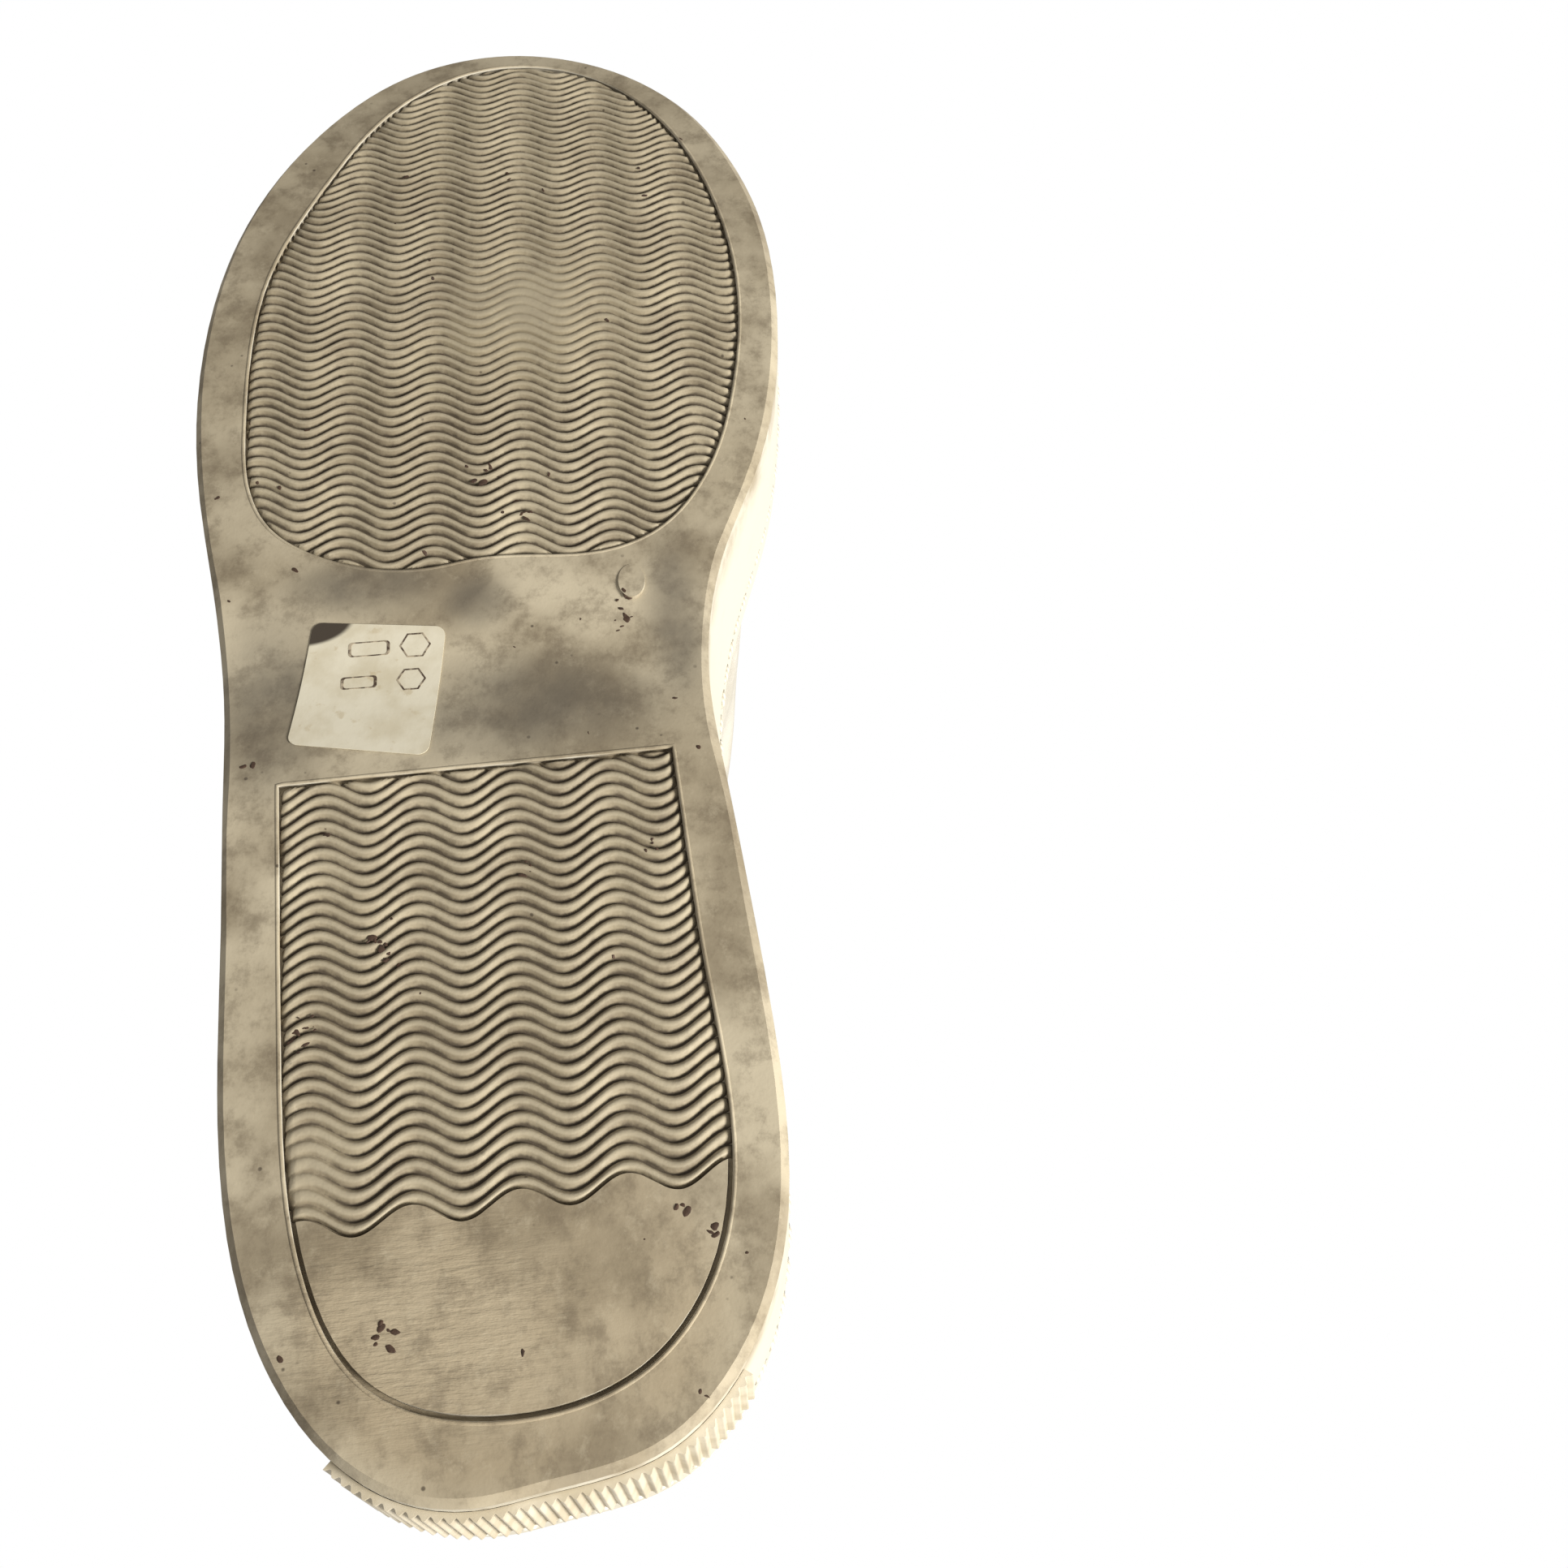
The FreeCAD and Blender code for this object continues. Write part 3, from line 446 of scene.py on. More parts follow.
def thread(name, light, dark):
    """Twisted polyester sewing thread."""
    made, tree, place = material(name)
    twist = add(tree, "ShaderNodeTexWave", {"Vector": place, "Scale": 420.0, "Distortion": 1.0},
                bands_direction="DIAGONAL").outputs["Fac"]
    base = blended(tree, twist, dark, light)
    finish_surface(tree, base, 0.7, ((twist, 0.4, 0.08),), **{"Sheen Weight": 0.2})
    return made


def woven_tape():
    """Narrow woven polyester tape."""
    made, tree, place = material("woven_tape")
    warp, weft = [add(tree, "ShaderNodeTexWave", {"Vector": place, "Scale": 300.0},
                      bands_direction=direction).outputs["Fac"] for direction in "XY"]
    weave = times(tree, warp, weft)
    finish_surface(tree, blended(tree, weave, "bdb9b0", "e6e3dc"), 0.85, ((weave, 0.6, 0.15),))
    return made


RUBBER = worn_sole_rubber()
TREAD = worn_tread_rubber()
LEATHER = full_grain_leather("white_leather", "d6d3ca", "c2bdb0")
FACING = full_grain_leather("facing_leather", "d2cfc5", "bcb7aa", 0.2)
NAVY = full_grain_leather("tab_leather", "39434f", "2a323c", 0.2)
MESH = spacer_mesh("lining_mesh", "8f9299", "5c6068")
TONGUE_MESH = spacer_mesh("tongue_mesh", "d9d7d0", "a9a8a3")
THREAD = thread("white_thread", "efece2", "c4bfb2")


def repaint(node, made):
    data = nodes[node].data
    data.materials.clear()
    data.materials.append(made)


for made, painted in (
        (RUBBER, ("cupsole",)),
        (ribbed_rubber(), ("heel_rib_band",)),
        (scuffed_paper(), ("material_label",)),
        (LEATHER, ("vamp", "lateral_quarter", "medial_quarter")),
        (FACING, ("lateral_eyestay", "medial_eyestay")),
        (NAVY, ("heel_tab", "back_seam_strip")),
        (MESH, ("quarter_lining", "vamp_lining")),
        (spacer_mesh("footbed_cloth", "77797e", "4c4e54"), ("footbed",)),
        (pressed_stock("eva_foam", "e6e2d8", "cfcabd", 1.5), ("foam_wedge",)),
        (pressed_stock("fibre_board", "b79c74", "93794f", 3.0), ("insole_board",)),
        (pressed_stock("toe_stiffener", "d8d2c4", "bcb4a2", 2.0, 0.6), ("toe_puff",)),
        (pressed_stock("counter_board", "cfc8b8", "aaa08b", 2.0, 0.6), ("heel_stiffener",)),
        (nickel_plate(), ("lace_eyelets",)),
        (woven_tape(), ("lace_keeper",))):
    for node in painted:
        repaint(node, made)


# --- wavy tread --------------------------------------------------------------------------------

def new_tree(name, **inputs):
    """A geometry tree with named inputs of each kind, its input sockets and each input's identifier."""
    tree = bpy.data.node_groups.new(name, "GeometryNodeTree")
    tree.is_modifier = True
    identifiers = {}
    for kind, labels in dict({"Geometry": ("Geometry",)}, **inputs).items():
        for label in labels:
            socket = tree.interface.new_socket(name=label, in_out="INPUT", socket_type="NodeSocket" + kind)
            identifiers[label] = socket.identifier
    tree.interface.new_socket(name="Geometry", in_out="OUTPUT", socket_type="NodeSocketGeometry")
    return tree, add(tree, "NodeGroupInput").outputs, identifiers


def ended(tree, geometry, paint):
    """Ends a tree: real geometry, painted, to its output."""
    real = use(tree, "GeometryNodeRealizeInstances", {"Geometry": geometry})
    painted = use(tree, "GeometryNodeSetMaterial", {"Geometry": real, "Material": paint})
    add(tree, "NodeGroupOutput", {"Geometry": painted})
    return tree


def grown(obj, made, values, name):
    """Runs a geometry tree on an object and returns the plain mesh."""
    tree, identifiers = made
    modifier = obj.modifiers.new("grow", "NODES")
    modifier.node_group = tree
    for label, value in values.items():
        modifier[identifiers[label]] = value
    return finished_mesh(obj, name)


ROW_STEPS = 8             # mesh lines across one ridge


def tread_tree():
    """Rows of wavy ridges laid over a pocket floor: they follow its height and sink away at its border."""
    tree, take, identifiers = new_tree(
        "wavy_ridges",
        Object=("Pocket floor", "Pocket border"), Int=("Rows", "Columns"), Material=("Rubber",),
        Vector=("Worn place",),
        Float=("Row pitch", "First row", "Width", "Middle", "Lean", "Wave length", "Wave swing",
               "Crest place", "Ridge height", "Worn size"))

    def sums(operation, a, b=None, c=None):
        return maths(tree, operation, a, b, c)

    def less(a, b):
        return sums("SUBTRACT", a, b)

    def near(target, element, result):
        return add(tree, "GeometryNodeProximity", {"Geometry": target, "Sample Position": here},
                   target_element=element).outputs[result]

    def moved(geometry, **how):
        return use(tree, "GeometryNodeSetPosition", dict({"Geometry": geometry}, **how))

    def stored(geometry, name, value):
        return use(tree, "GeometryNodeStoreNamedAttribute",
                   {"Geometry": geometry, "Name": name, "Value": value}, data_type="FLOAT", domain="POINT")

    def recalled(name):
        return use(tree, "GeometryNodeInputNamedAttribute", {"Name": name}, data_type="FLOAT")

    # A flat grid of rows, waved and laid on the floor of the pocket
    lines = sums("MULTIPLY_ADD", take["Rows"], float(ROW_STEPS), 1.0)
    grid = use(tree, "GeometryNodeMeshGrid", {"Size X": take["Rows"], "Size Y": take["Width"],
                                              "Vertices X": lines, "Vertices Y": take["Columns"]})
    here = use(tree, "GeometryNodeInputPosition")
    flat = xyz(tree, here)
    row = sums("MULTIPLY_ADD", take["Rows"], 0.5, flat["X"])
    across = sums("ADD", flat["Y"], take["Middle"])
    turn = sums("DIVIDE", less(across, take["Crest place"]), take["Wave length"])
    wave = sums("COSINE", times(tree, turn, 2 * math.pi))
    place = sums("MULTIPLY_ADD", row, take["Row pitch"], take["First row"])
    place = sums("MULTIPLY_ADD", wave, take["Wave swing"], place)
    place = sums("MULTIPLY_ADD", across, take["Lean"], place)
    spot = joined(tree, place, across, 3.0 * MM)
    laid = moved(stored(grid, "row", row), Position=spot)
    floor = add(tree, "GeometryNodeObjectInfo", {"Object": take["Pocket floor"]}).outputs["Geometry"]
    border = add(tree, "GeometryNodeObjectInfo", {"Object": take["Pocket border"]}).outputs["Geometry"]
    for _ in range(2):
        level = xyz(tree, near(floor, "FACES", "Position"))["Z"]
        laid = moved(laid, Position=joined(tree, flat["X"], flat["Y"], level))
    # How far each point lies inside the border, less than nothing outside it
    outside = sums("GREATER_THAN", near(floor, "FACES", "Distance"), 0.02 * MM)
    side = sums("MULTIPLY_ADD", outside, -2.0, 1.0)
    laid = stored(laid, "inside_by", times(tree, near(border, "EDGES", "Distance"), side))
    held = recalled("inside_by")
    full = ramp(tree, held, 0.15 * MM, 0.85 * MM)
    # Ridges: round on top, lower where the sole has been rubbed, sunk in the rubber at the border
    off_crest = sums("ABSOLUTE", sums("MULTIPLY_ADD", sums("FRACT", recalled("row")), 2.0, -1.0))
    from_worn = add(tree, "ShaderNodeVectorMath", {0: here, 1: take["Worn place"]},
                    operation="DISTANCE").outputs["Value"]
    worn = ramp(tree, from_worn, take["Worn size"], 0.0, 1.0, 0.12)
    rubbed = use(tree, "ShaderNodeTexNoise", {"Vector": here, "Scale": 90.0, "Detail": 2.0})
    worn = times(tree, worn, sums("MULTIPLY_ADD", rubbed, 0.35, 0.80))
    groove = times(tree, sums("POWER", off_crest, 2.3), worn)
    depth = times(tree, less(1.0, groove), take["Ridge height"])
    drop = times(tree, sums("ADD", depth, 0.06 * MM), full)
    sunk = times(tree, less(1.0, full), 0.35 * MM)
    marked = stored(laid, "groove", sums("MAXIMUM", groove, less(1.0, full)))
    raised = moved(marked, Offset=joined(tree, z=less(sunk, drop)))
    beyond = sums("LESS_THAN", held, -1.0 * MM)
    trimmed = use(tree, "GeometryNodeDeleteGeometry", {"Geometry": raised, "Selection": beyond},
                  domain="POINT")
    flipped = use(tree, "GeometryNodeFlipFaces", {"Mesh": trimmed})
    return ended(tree, flipped, take["Rubber"]), identifiers


def ground_level(x):
    """Height of the sole's bottom, as the part is drawn: lifted at the waist and at the toe."""
    share = (x - HEEL_END) / SOLE_LENGTH
    toe = TOE_LIFT * ((share - TOE_START) / (1.0 - TOE_START)) ** 1.8 if share > TOE_START else 0.0
    waist = (share - WAIST_BACK) / (WAIST_FRONT - WAIST_BACK)
    return toe + (WAIST_LIFT * math.sin(math.pi * waist) ** 2 if 0.0 < waist < 1.0 else 0.0)


def pocket(front):
    """The sunk floor of one tread panel and its border, as two helper objects."""
    bm = merged("cupsole")
    split = along(136.0, 0.0).x

    def on_floor(face):
        middle = face.calc_center_median()
        return (face.normal.z < -0.95 and (middle.x > split) == front
                and all(v.co.z - ground_level(v.co.x) > 0.9 * MM for v in face.verts)
                and middle.z - ground_level(middle.x) < 1.9 * MM)

    bmesh.ops.delete(bm, geom=[f for f in bm.faces if not on_floor(f)], context="FACES")
    border = bm.copy()
    inner = [e for e in border.edges if len(e.link_faces) != 1]
    bmesh.ops.delete(border, geom=inner, context="EDGES")
    bmesh.ops.delete(border, geom=list(border.faces), context="FACES_ONLY")
    return piece_of("pocket_floor", bm), piece_of("pocket_border", border)


def closed_under(piece):
    """Closes a sheet of ridges with a skirt and a back that lie hidden in the rubber."""
    bm = bmesh.new()
    bm.from_mesh(piece.data)
    loose = [v for v in bm.verts if not v.link_faces]
    bmesh.ops.delete(bm, geom=loose, context="VERTS")
    rim = [e for e in bm.edges if e.is_boundary]
    made = bmesh.ops.extrude_edge_only(bm, edges=rim)["geom"]
    for vert in [g for g in made if isinstance(g, bmesh.types.BMVert)]:
        vert.co.z += 0.3 * MM
    bmesh.ops.holes_fill(bm, edges=[e for e in bm.edges if e.is_boundary], sides=0)
    bmesh.ops.triangulate(bm, faces=[f for f in bm.faces if len(f.verts) > 4])
    bmesh.ops.recalc_face_normals(bm, faces=bm.faces)
    bm.to_mesh(piece.data)
    bm.free()
    piece.data.shade_smooth()


def bead_tree():
    """A round bead of rubber along a path."""
    tree, take, identifiers = new_tree("border_bead", Float=("Radius", "Step"), Material=("Rubber",))
    path = use(tree, "GeometryNodeMeshToCurve", {"Mesh": take["Geometry"]})
    even = use(tree, "GeometryNodeResampleCurve", {"Curve": path, "Length": take["Step"]}, mode="LENGTH")
    ring = use(tree, "GeometryNodeCurvePrimitiveCircle", {"Resolution": 8, "Radius": take["Radius"]})
    swept = use(tree, "GeometryNodeCurveToMesh", {"Curve": even, "Profile Curve": ring})
    soft = use(tree, "GeometryNodeSetShadeSmooth", {"Geometry": swept})
    return ended(tree, soft, take["Rubber"]), identifiers


RIDGES = tread_tree()
BEAD = bead_tree()


def border_bead(border, name):
    """Thin moulded bead that stands a little proud all around a panel."""
    bm = bmesh.new()
    bm.from_mesh(border.data)
    front = max(bm.verts, key=lambda v: v.co.x)
    outer = {front}
    reached = [front]
    while reached:
        vert = reached.pop()
        for edge in vert.link_edges:
            other = edge.other_vert(vert)
            if other not in outer:
                outer.add(other)
                reached.append(other)
    bmesh.ops.delete(bm, geom=[v for v in bm.verts if v not in outer], context="VERTS")
    for vert in bm.verts:
        vert.co.z = ground_level(vert.co.x) + 0.22 * MM
    values = {"Radius": 0.36 * MM, "Step": 1.2 * MM, "Rubber": RUBBER}
    bead = grown(piece_of(name + "_path", bm), BEAD, values, name)
    rides(bead, "shoe", "sole_rubber")


def tread(name, front, rows, pitch, first, width, lean, wave, swing, crest, worn_place, worn_size):
    """One panel of ridges and its bead; the sizes are in mm, the lean is a slope."""
    floor, border = pocket(front)
    seed = piece_of(name + "_seed", bmesh.new())
    values = {"Pocket floor": floor, "Pocket border": border, "Rows": rows, "Row pitch": pitch * MM,
              "First row": HEEL_END + first * MM, "Width": width * MM, "Columns": int(width / 0.85),
              "Middle": AXIS, "Lean": lean, "Wave length": wave * MM, "Wave swing": swing * MM,
              "Crest place": AXIS + crest * MM, "Ridge height": 1.12 * MM, "Worn place": worn_place,
              "Worn size": worn_size * MM, "Rubber": TREAD}
    made = grown(seed, RIDGES, values, name)
    closed_under(made)
    border_bead(border, name + "_border")
    bpy.data.objects.remove(floor)
    bpy.data.objects.remove(border)
    rides(made, "shoe", "sole_rubber")
    return made


heel_tread = tread("heel_tread", front=False, rows=33, pitch=2.42, first=39.5, width=84.0, lean=0.060,
                   wave=15.4, swing=1.75, crest=1.8, worn_place=along(46.0, -33.0, 1.0), worn_size=17.0)
forefoot_tread = tread("forefoot_tread", front=True, rows=66, pitch=2.40, first=147.0, width=106.0,
                       lean=-0.055, wave=15.9, swing=1.75, crest=4.3,
                       worn_place=along(215.0, 6.0, 1.0), worn_size=30.0)


# --- label, marks and residue on the sole --------------------------------------------------------

def marks_on_label():
    """Plain closed outlines, printed on the label: two six-sided shapes and two rounded bars."""
    paper = tree_of("material_label")
    bm = bmesh.new()
    hexagon = [(math.cos(math.radians(60 * i + 30)), math.sin(math.radians(60 * i + 30))) for i in range(6)]
    bar = []
    for corner, (x, y) in enumerate([(0.35, 1.3), (-0.35, 1.3), (-0.35, -1.3), (0.35, -1.3)]):
        for step in range(4):
            turn = math.radians(90 * corner + 30 * step)
            bar.append((x + 0.3 * math.cos(turn), y + 0.3 * math.sin(turn)))
    line = 0.32 * MM
    for length, width, outline, size in ((138.0, -14.6, hexagon, 2.7), (131.2, -15.2, hexagon, 2.5),
                                         (137.9, -22.4, bar, 2.2), (131.3, -24.0, bar, 1.9)):
        middle = along(length, width)
        loops = []
        for inset in (0.0, line):
            for depth in (0.03 * MM, -0.02 * MM):
                loop = []
                for x, y in outline:
                    reach = size * MM - inset
                    spot = middle + Vector((x * reach, y * reach, 0.0))
                    hit = paper.ray_cast(Vector((spot.x, spot.y, -0.01)), Vector((0, 0, 1)))[0]
                    loop.append(bm.verts.new((spot.x, spot.y, (hit.z if hit else 0.0) - depth)))
                loops.append(loop)
        order = [loops[0], loops[1], loops[3], loops[2]]
        for one, two in zip(order, order[1:] + order[:1]):
            for i in range(len(one)):
                bm.faces.new((one[i - 1], one[i], two[i], two[i - 1]))
    bmesh.ops.recalc_face_normals(bm, faces=bm.faces)
    piece = piece_of("label_outlines", bm, smooth=False)
    piece.data.materials.append(faded_ink())
    rides(piece, "shoe", "label_paper")


def fleck_tree():
    """Small irregular crumbs scattered over a surface, thicker where the noise gathers them."""
    tree, take, identifiers = new_tree(
        "residue_flecks", Object=("Surface",), Int=("Seed",), Material=("Residue",),
        Float=("Flecks per square metre", "Gathered", "Smallest", "Largest"))
    surface = add(tree, "GeometryNodeObjectInfo", {"Object": take["Surface"]}).outputs["Geometry"]
    place = use(tree, "GeometryNodeInputPosition")
    gather = use(tree, "ShaderNodeTexNoise", {"Vector": place, "Scale": 55.0, "Detail": 2.0})
    share = ramp(tree, gather, take["Gathered"], 0.62, smooth=False)
    density = times(tree, share, take["Flecks per square metre"])
    seed = take["Seed"]

    def random_size(low, high):
        return add(tree, "FunctionNodeRandomValue", {2: low, 3: high, 8: seed}, data_type="FLOAT").outputs[1]

    points = add(tree, "GeometryNodeDistributePointsOnFaces",
                 {"Mesh": surface, "Density": density, "Seed": seed}, distribute_method="RANDOM").outputs
    crumb = use(tree, "GeometryNodeMeshIcoSphere", {"Radius": 1.0, "Subdivisions": 2})
    size = random_size(take["Smallest"], take["Largest"])
    shape = use(tree, "FunctionNodeRandomValue", {0: (0.5, 0.35, 0.14), 1: (1.3, 0.8, 0.24), 8: seed},
                data_type="FLOAT_VECTOR")
    scale = use(tree, "ShaderNodeVectorMath", {0: shape, "Scale": size}, operation="SCALE")
    placed = use(tree, "GeometryNodeInstanceOnPoints", {"Points": points["Points"], "Instance": crumb,
                                                        "Rotation": points["Rotation"], "Scale": scale})
    spin = joined(tree, z=random_size(0.0, 6.283))
    turned = use(tree, "GeometryNodeRotateInstances", {"Instances": placed, "Rotation": spin})
    real = use(tree, "GeometryNodeRealizeInstances", {"Geometry": turned})
    ragged = add(tree, "ShaderNodeTexNoise", {"Vector": place, "Scale": 1400.0, "Detail": 1.0})
    shift = use(tree, "ShaderNodeVectorMath", {0: ragged.outputs["Color"], 1: (0.5, 0.5, 0.5)},
                operation="SUBTRACT")
    nudge = use(tree, "ShaderNodeVectorMath", {0: shift, 1: (0.6 * MM, 0.6 * MM, 0.06 * MM)},
                operation="MULTIPLY")
    rough = use(tree, "GeometryNodeSetPosition", {"Geometry": real, "Offset": nudge})
    return ended(tree, rough, take["Residue"]), identifiers


# Where residue has gathered: length and width on the sole, radius, all in mm
RESIDUE = ((142.8, 21.5, 2.8), (139.2, 20.4, 2.0), (173.0, -2.0, 3.4), (168.0, 1.6, 4.4),
           (163.5, 5.0, 2.6), (257.0, -19.5, 1.4), (255.0, 1.6, 1.6), (254.0, 29.0, 1.2),
           (149.5, -46.0, 1.6), (116.0, -41.3, 1.8), (102.6, -27.0, 2.2), (92.0, -13.3, 1.6),
           (93.3, 3.2, 1.8), (94.4, 23.2, 2.0), (81.8, -20.0, 2.6), (79.5, -17.0, 2.2),
           (69.2, -29.9, 2.8), (66.5, -31.0, 2.2), (22.4, -16.7, 2.2), (17.6, -17.0, 1.1),
           (20.0, -31.6, 1.8), (11.6, 26.6, 1.5), (36.5, 25.0, 1.5), (33.0, 29.0, 1.2))


def residue(treads):
    """Crumbs of dried dirt: a thin scatter over the whole sole and some gathered smears."""
    bm = merged("cupsole")
    bmesh.ops.delete(bm, geom=[f for f in bm.faces if f.normal.z > -0.9 or f.calc_center_median().z > 0.012],
                     context="FACES")
    for ridges in treads:
        bm.from_mesh(ridges.data)
    bmesh.ops.delete(bm, geom=[f for f in bm.faces if f.normal.z > -0.5], context="FACES")
    surface = BVHTree.FromBMesh(bm)
    scatter = piece_of("sole_surface", bm)
    smears = bmesh.new()
    for length, width, radius in RESIDUE:
        middle = along(length, width)
        outline = []
        for i in range(12):
            turn = math.radians(30 * i)
            reach = radius * MM * (0.75 + 0.35 * noise.noise(Vector((length + i, width, 3.0))))
            spot = middle + Vector((1.25 * reach * math.cos(turn), reach * math.sin(turn), 0.0))
            hit = surface.ray_cast(Vector((spot.x, spot.y, -0.02)), Vector((0, 0, 1)))[0]
            if hit:
                outline.append(smears.verts.new(hit))
        face = smears.faces.new(reversed(outline))
        face.normal_update()
    gathered = piece_of("smear_surface", smears)
    flecks = fleck_tree()
    made = dried_residue()
    for name, target, density, gather, small, large, seed in (
            ("scattered_flecks", scatter, 9000.0, 0.50, 0.16, 0.60, 5),
            ("gathered_residue", gathered, 750000.0, 0.30, 0.25, 0.85, 11)):
        values = {"Surface": target, "Flecks per square metre": density, "Gathered": gather,
                  "Smallest": small * MM, "Largest": large * MM, "Seed": seed, "Residue": made}
        piece = grown(piece_of(name + "_seed", bmesh.new()), flecks, values, name)
        rides(piece, "shoe", "sole_rubber")
        bpy.data.objects.remove(target)


marks_on_label()
residue((heel_tread, forefoot_tread))


# --- padded pieces -------------------------------------------------------------------------------

def stuffed(name, sources, voxel, swell, smoothing):
    """One crowned closed skin over several CAD solids, with soft edges instead of cut ones."""
    piece = piece_of(name + "_core", merged(*sources))
    remesh = piece.modifiers.new("remesh", "REMESH")
    remesh.mode = "VOXEL"
    remesh.voxel_size = voxel * MM
    smooth = piece.modifiers.new("smooth", "SMOOTH")
    smooth.factor = 0.5
    smooth.iterations = smoothing
    puff = piece.modifiers.new("puff", "DISPLACE")
    puff.mid_level = 0.0
    puff.strength = swell * MM
    return finished_mesh(piece, name)


def lined(piece, outer_nodes, outer, inner):
    """Gives the faces nearest to some CAD nodes one material and the others another."""
    data = piece.data
    data.materials.clear()
    data.materials.append(outer)
    data.materials.append(inner[0])
    skin = tree_of(*outer_nodes)
    rest = tree_of(*inner[1])
    for face in data.polygons:
        near = skin.find_nearest(face.center)[3]
        far = rest.find_nearest(face.center)[3]
        face.material_index = 0 if near <= far else 1
    data.shade_smooth()


def pressed(piece, channels, depth, width):
    """Presses sewn channels into a padded piece: each channel gives its distance from a place."""
    bm = bmesh.new()
    bm.from_mesh(piece.data)
    for vert in bm.verts:
        distance = min(channel(vert.co) for channel in channels)
        vert.co -= vert.normal * depth * MM * math.exp(-(distance / (width * MM)) ** 2)
    bm.to_mesh(piece.data)
    bm.free()


def feathered(piece, target, start, end):
    """Thins a padded piece down on to its neighbours between two places along the shoe."""
    bm = bmesh.new()
    bm.from_mesh(piece.data)
    for vert in bm.verts:
        share = min(1.0, max(0.0, ((vert.co.x - HEEL_END) / MM - start) / (end - start)))
        if share > 0.0:
            near = target.find_nearest(vert.co)[0]
            vert.co = vert.co.lerp(near, 0.96 * share * share * (3.0 - 2.0 * share))
    bm.to_mesh(piece.data)
    bm.free()


def padded_collar():
    piece = stuffed("padded_collar", ("collar_foam", "collar_lining", "collar_binding"),
                    voxel=0.9, swell=0.12, smoothing=9)
    feathered(piece, tree_of("lateral_quarter", "medial_quarter"), start=94.0, end=111.0)
    ripple = [(lambda p, level=level: abs(p.z - collar_height(p.x) + level * MM)) for level in (4.6, 12.4)]
    pressed(piece, ripple, depth=0.55, width=1.3)
    lined(piece, ("collar_binding",), FACING, (MESH, ("collar_lining", "collar_foam")))
    rides(piece, "shoe", "lining", "collar_foam", "collar_lining", "collar_binding")


# The collar line in side view, as the part is drawn: mm from the heel end and above the ground
COLLAR_LINE = ((2, 88.5), (18, 85.5), (38, 76.0), (62, 68.5), (86, 70.5), (108, 81.0), (126, 94.0),
               (138, 103.0))


def collar_height(x):
    """Height of the collar line at a place along the shoe."""
    length = (x - HEEL_END) / MM
    for (x0, z0), (x1, z1) in zip(COLLAR_LINE, COLLAR_LINE[1:]):
        if length <= x1:
            return (z0 + (z1 - z0) * max(0.0, (length - x0) / (x1 - x0))) * MM
    return COLLAR_LINE[-1][1] * MM


def padded_tongue():
    piece = stuffed("padded_tongue", ("tongue_cover", "tongue_foam", "tongue_lining"),
                    voxel=0.85, swell=0.25, smoothing=16)
    edge = [lambda p: abs(abs(p.y - AXIS) - 17.0 * MM)]
    rows = [(lambda p, row=row: abs(p.x - along(row, 0).x)) for row in (136.0, 172.0, 184.0, 196.0)]
    pressed(piece, edge + rows, depth=0.5, width=1.2)
    lined(piece, ("tongue_cover",), LEATHER, (TONGUE_MESH, ("tongue_lining",)))
    rides(piece, "tongue", "leather", "tongue_cover", "tongue_foam", "tongue_lining")


padded_collar()
padded_tongue()


# --- stitching -----------------------------------------------------------------------------------

def stitch_tree():
    """Single stitches laid end to end along a path, each a short plump bead of thread."""
    tree, take, identifiers = new_tree("stitch_row", Float=("Pitch", "Stitch length", "Thread width"),
                                       Material=("Thread",))
    path = use(tree, "GeometryNodeMeshToCurve", {"Mesh": take["Geometry"]})
    spaced = use(tree, "GeometryNodeResampleCurve", {"Curve": path, "Length": take["Pitch"]}, mode="LENGTH")
    bead = use(tree, "GeometryNodeMeshUVSphere", {"Segments": 6, "Rings": 4, "Radius": 0.5})
    size = joined(tree, take["Stitch length"], take["Thread width"], take["Thread width"])
    shaped = use(tree, "GeometryNodeTransform", {"Geometry": bead, "Scale": size})
    heading = use(tree, "GeometryNodeInputTangent")
    turn = use(tree, "FunctionNodeAlignRotationToVector", {"Vector": heading}, axis="X")
    laid = use(tree, "GeometryNodeInstanceOnPoints", {"Points": spaced, "Instance": shaped, "Rotation": turn})
    return ended(tree, laid, take["Thread"]), identifiers


STITCHES = stitch_tree()


def stitched(name, paths, slot, pitch, length, width):
    """Stitch rows along several paths, joined in one piece."""
    bm = bmesh.new()
    for path in paths:
        verts = [bm.verts.new(point) for point in path]
        for one, two in zip(verts, verts[1:]):
            bm.edges.new((one, two))
    values = {"Pitch": pitch * MM, "Stitch length": length * MM, "Thread width": width * MM, "Thread": THREAD}
    piece = grown(piece_of(name + "_path", bm), STITCHES, values, name)
    piece.data.shade_smooth()
    rides(piece, "shoe", slot)


def dropped(tree, points, lift):
    """Points let down on a surface from above, standing proud by lift."""
    path = []
    for x, y in points:
        hit, normal, _, _ = tree.ray_cast(Vector((x, y, 0.2)), Vector((0, 0, -1)))
        if hit:
            path.append(hit + normal * lift * MM)
    return path


def pushed(tree, points, side, lift):
    """Points pushed level against the shoe from one side, standing proud by lift."""
    path = []
    for x, z in points:
        hit, normal, _, _ = tree.ray_cast(Vector((x, side * 0.2, z)), Vector((0, -side, 0)))
        if hit:
            path.append(hit + normal * lift * MM)
    return path


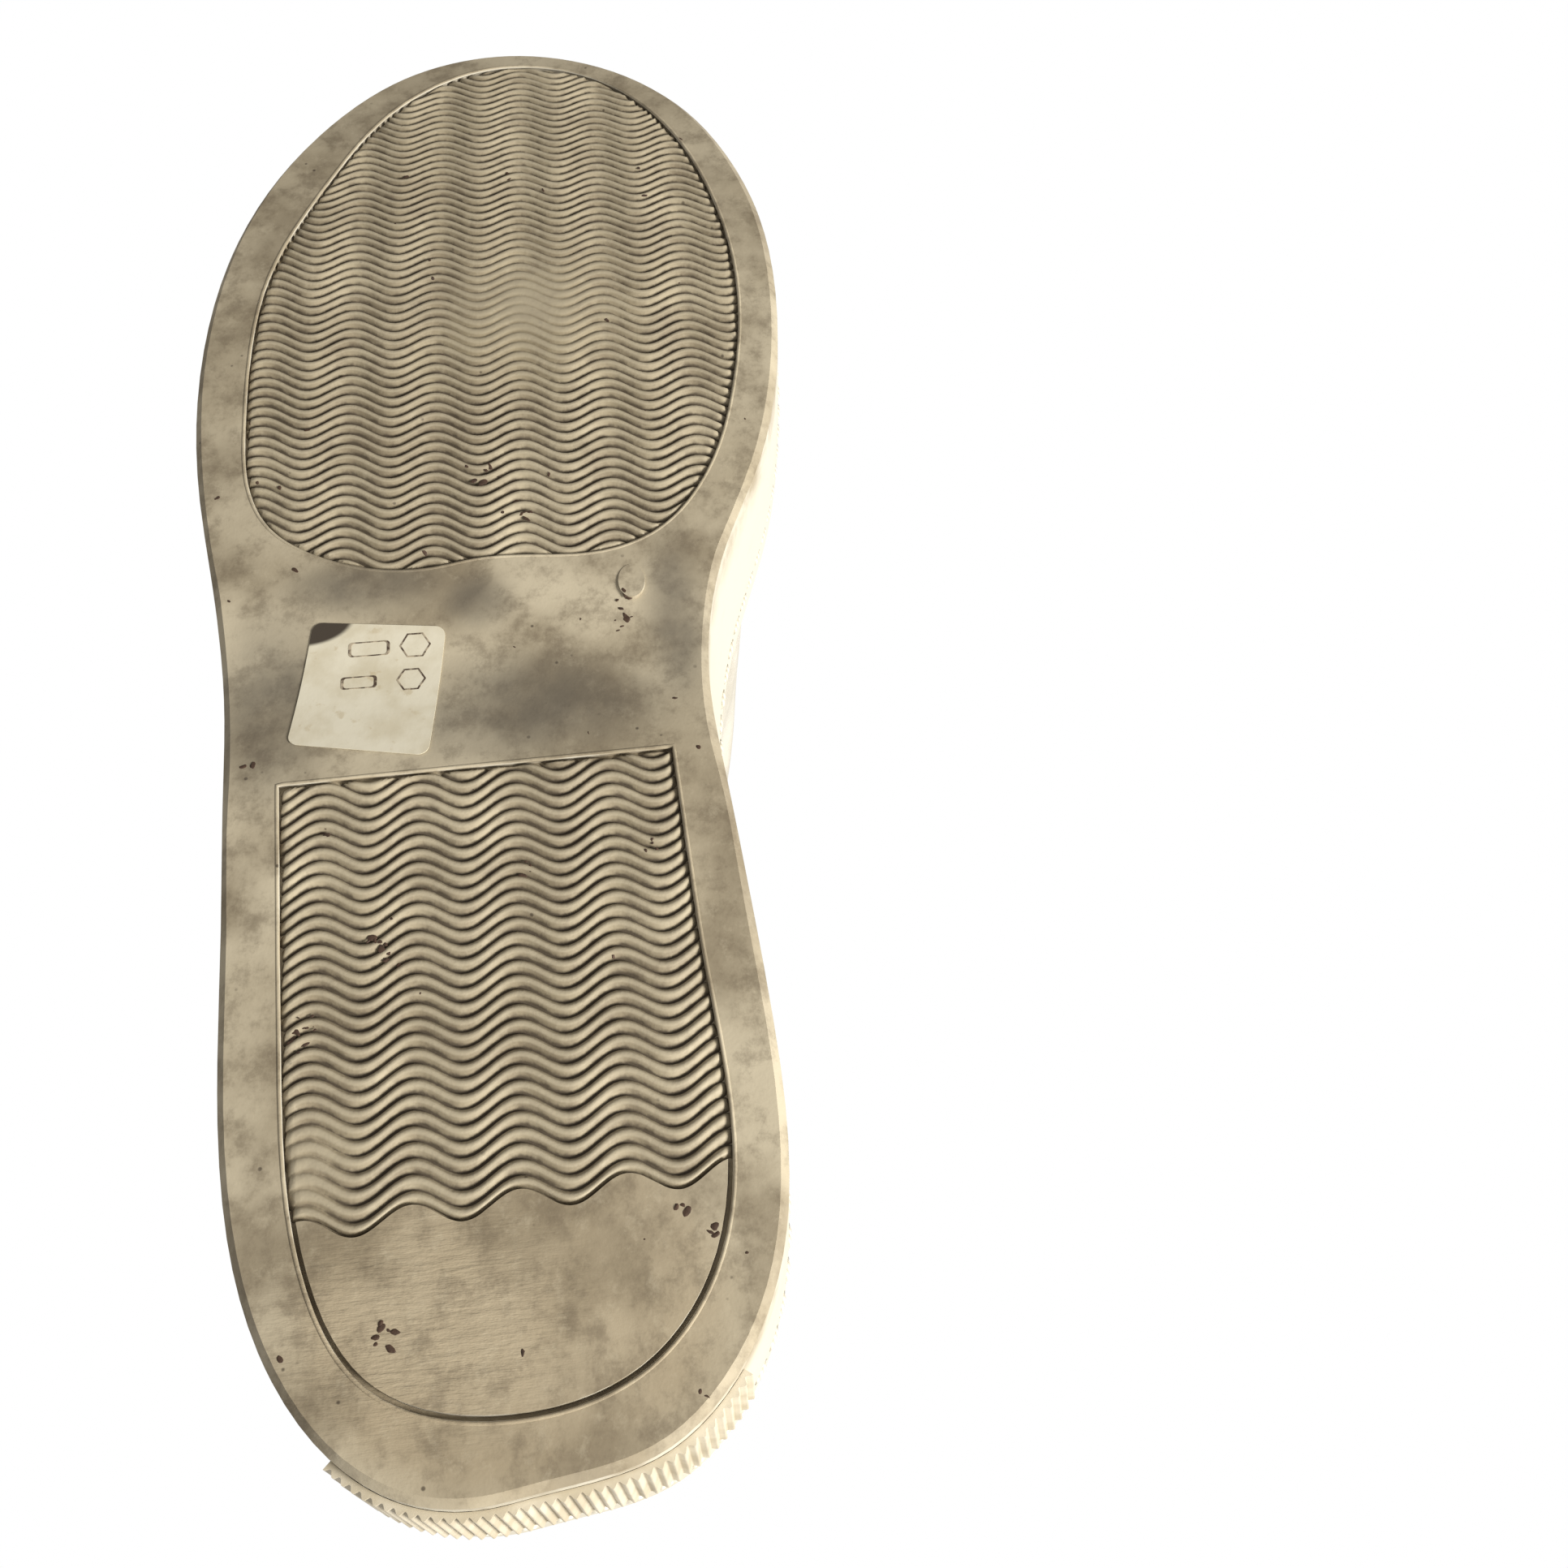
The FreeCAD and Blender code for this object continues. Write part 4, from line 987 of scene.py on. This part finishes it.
def facing_line(side, inset):
    """Line along an eyestay, a distance in from its outer edge, down and round to the front seam."""
    back = 131.0
    reach = THROAT_HALF + EYESTAY - inset
    points = []
    straight = 39
    for i in range(straight + 1):
        length = back + (THROAT_CORNER - back) * i / straight
        points.append((length, side * (reach + THROAT_FLARE * (THROAT_CORNER - length))))
    round_steps = 15
    for i in range(1, round_steps + 1):
        turn = math.radians(90.0 - 88.0 * i / round_steps)
        points.append((THROAT_CORNER + reach * math.cos(turn), side * reach * math.sin(turn)))
    return [(along(length, width).x, along(length, width).y) for length, width in points]


# The seam between vamp and quarters in side view: mm from the heel end and above the ground
VAMP_SEAM = ((178.5, 30.0), (183.0, 37.5), (190.0, 48.0), (196.5, 61.0), (200.0, 68.0))


def upper_stitching():
    facing = tree_of("lateral_eyestay", "medial_eyestay")
    rows = []
    for side in (-1, 1):
        for inset in (1.5, 3.6, 12.4):
            rows.append(dropped(facing, facing_line(side, inset), 0.05))
    stitched("facing_stitches", rows, "leather", pitch=2.6, length=2.1, width=0.55)
    panels = tree_of("lateral_quarter", "medial_quarter", "vamp")
    below_collar = 5.0 * MM
    rows = []
    for side in (-1, 1):
        for shift in (-2.0, 2.0):
            line = []
            for (x0, z0), (x1, z1) in zip(VAMP_SEAM, VAMP_SEAM[1:]):
                for i in range(8):
                    place = along(x0 + shift + (x1 - x0) * i / 8, 0.0, z0 + (z1 - z0) * i / 8)
                    line.append((place.x, place.z))
            rows.append(pushed(panels, line, side, 0.05))
        lengths = [along(length, 0.0).x for length in range(14, 120, 3)]
        rows.append(pushed(panels, [(x, collar_height(x) - below_collar) for x in lengths], side, 0.05))
    stitched("panel_stitches", rows, "leather", pitch=2.6, length=2.1, width=0.55)


def wall_stitching():
    """Row of cupsole stitches in the wall, all around below the rim."""
    rubber = tree_of("cupsole")
    heel_height = 26.0 * MM
    fore_height = 21.4 * MM
    rear_turn = -95.0 * MM    # the middle that the wall is looked at from keeps between these
    front_turn = 85.0 * MM
    path = []
    steps = 220
    for i in range(steps + 1):
        turn = 2 * math.pi * i / steps
        reach = Vector((math.cos(turn), math.sin(turn), 0.0))
        middle = Vector((max(rear_turn, min(front_turn, 0.30 * reach.x)), AXIS, 0.0))
        wall_x = middle.x + 0.05 * reach.x
        share = min(1.0, max(0.0, ((wall_x - HEEL_END) / SOLE_LENGTH - 0.15) / 0.45))
        middle.z = heel_height + (fore_height - heel_height) * share + ground_level(wall_x)
        hit, normal, _, _ = rubber.ray_cast(middle + reach * 0.3, -reach)
        if hit:
            path.append(hit + normal * 0.02 * MM)
    stitched("wall_stitches", [path], "sole_rubber", pitch=5.2, length=4.4, width=0.9)


upper_stitching()
wall_stitching()


# --- stage -------------------------------------------------------------------------------------

def studio_floor():
    """Pale floor that is seen from above only, so the sole can be looked at from below."""
    made, tree = blank_material("pale_floor")
    behind = add(tree, "ShaderNodeNewGeometry").outputs["Backfacing"]
    paint = add(tree, "ShaderNodeBsdfDiffuse", {"Color": colour("e9e8e6")})
    clear = add(tree, "ShaderNodeBsdfTransparent")
    surface = add(tree, "ShaderNodeMixShader", {0: behind, 1: paint.outputs[0], 2: clear.outputs[0]})
    add(tree, "ShaderNodeOutputMaterial", {"Surface": surface.outputs[0]})
    bm = bmesh.new()
    bmesh.ops.create_grid(bm, x_segments=1, y_segments=1, size=4.0)
    floor = piece_of("studio_floor", bm)
    floor.data.transform(Matrix.Translation((0.0, 0.0, -0.4 * MM)))
    floor.data.materials.append(made)
    floor.visible_shadow = False
    floor.visible_diffuse = False
    floor.visible_glossy = False


studio_floor()
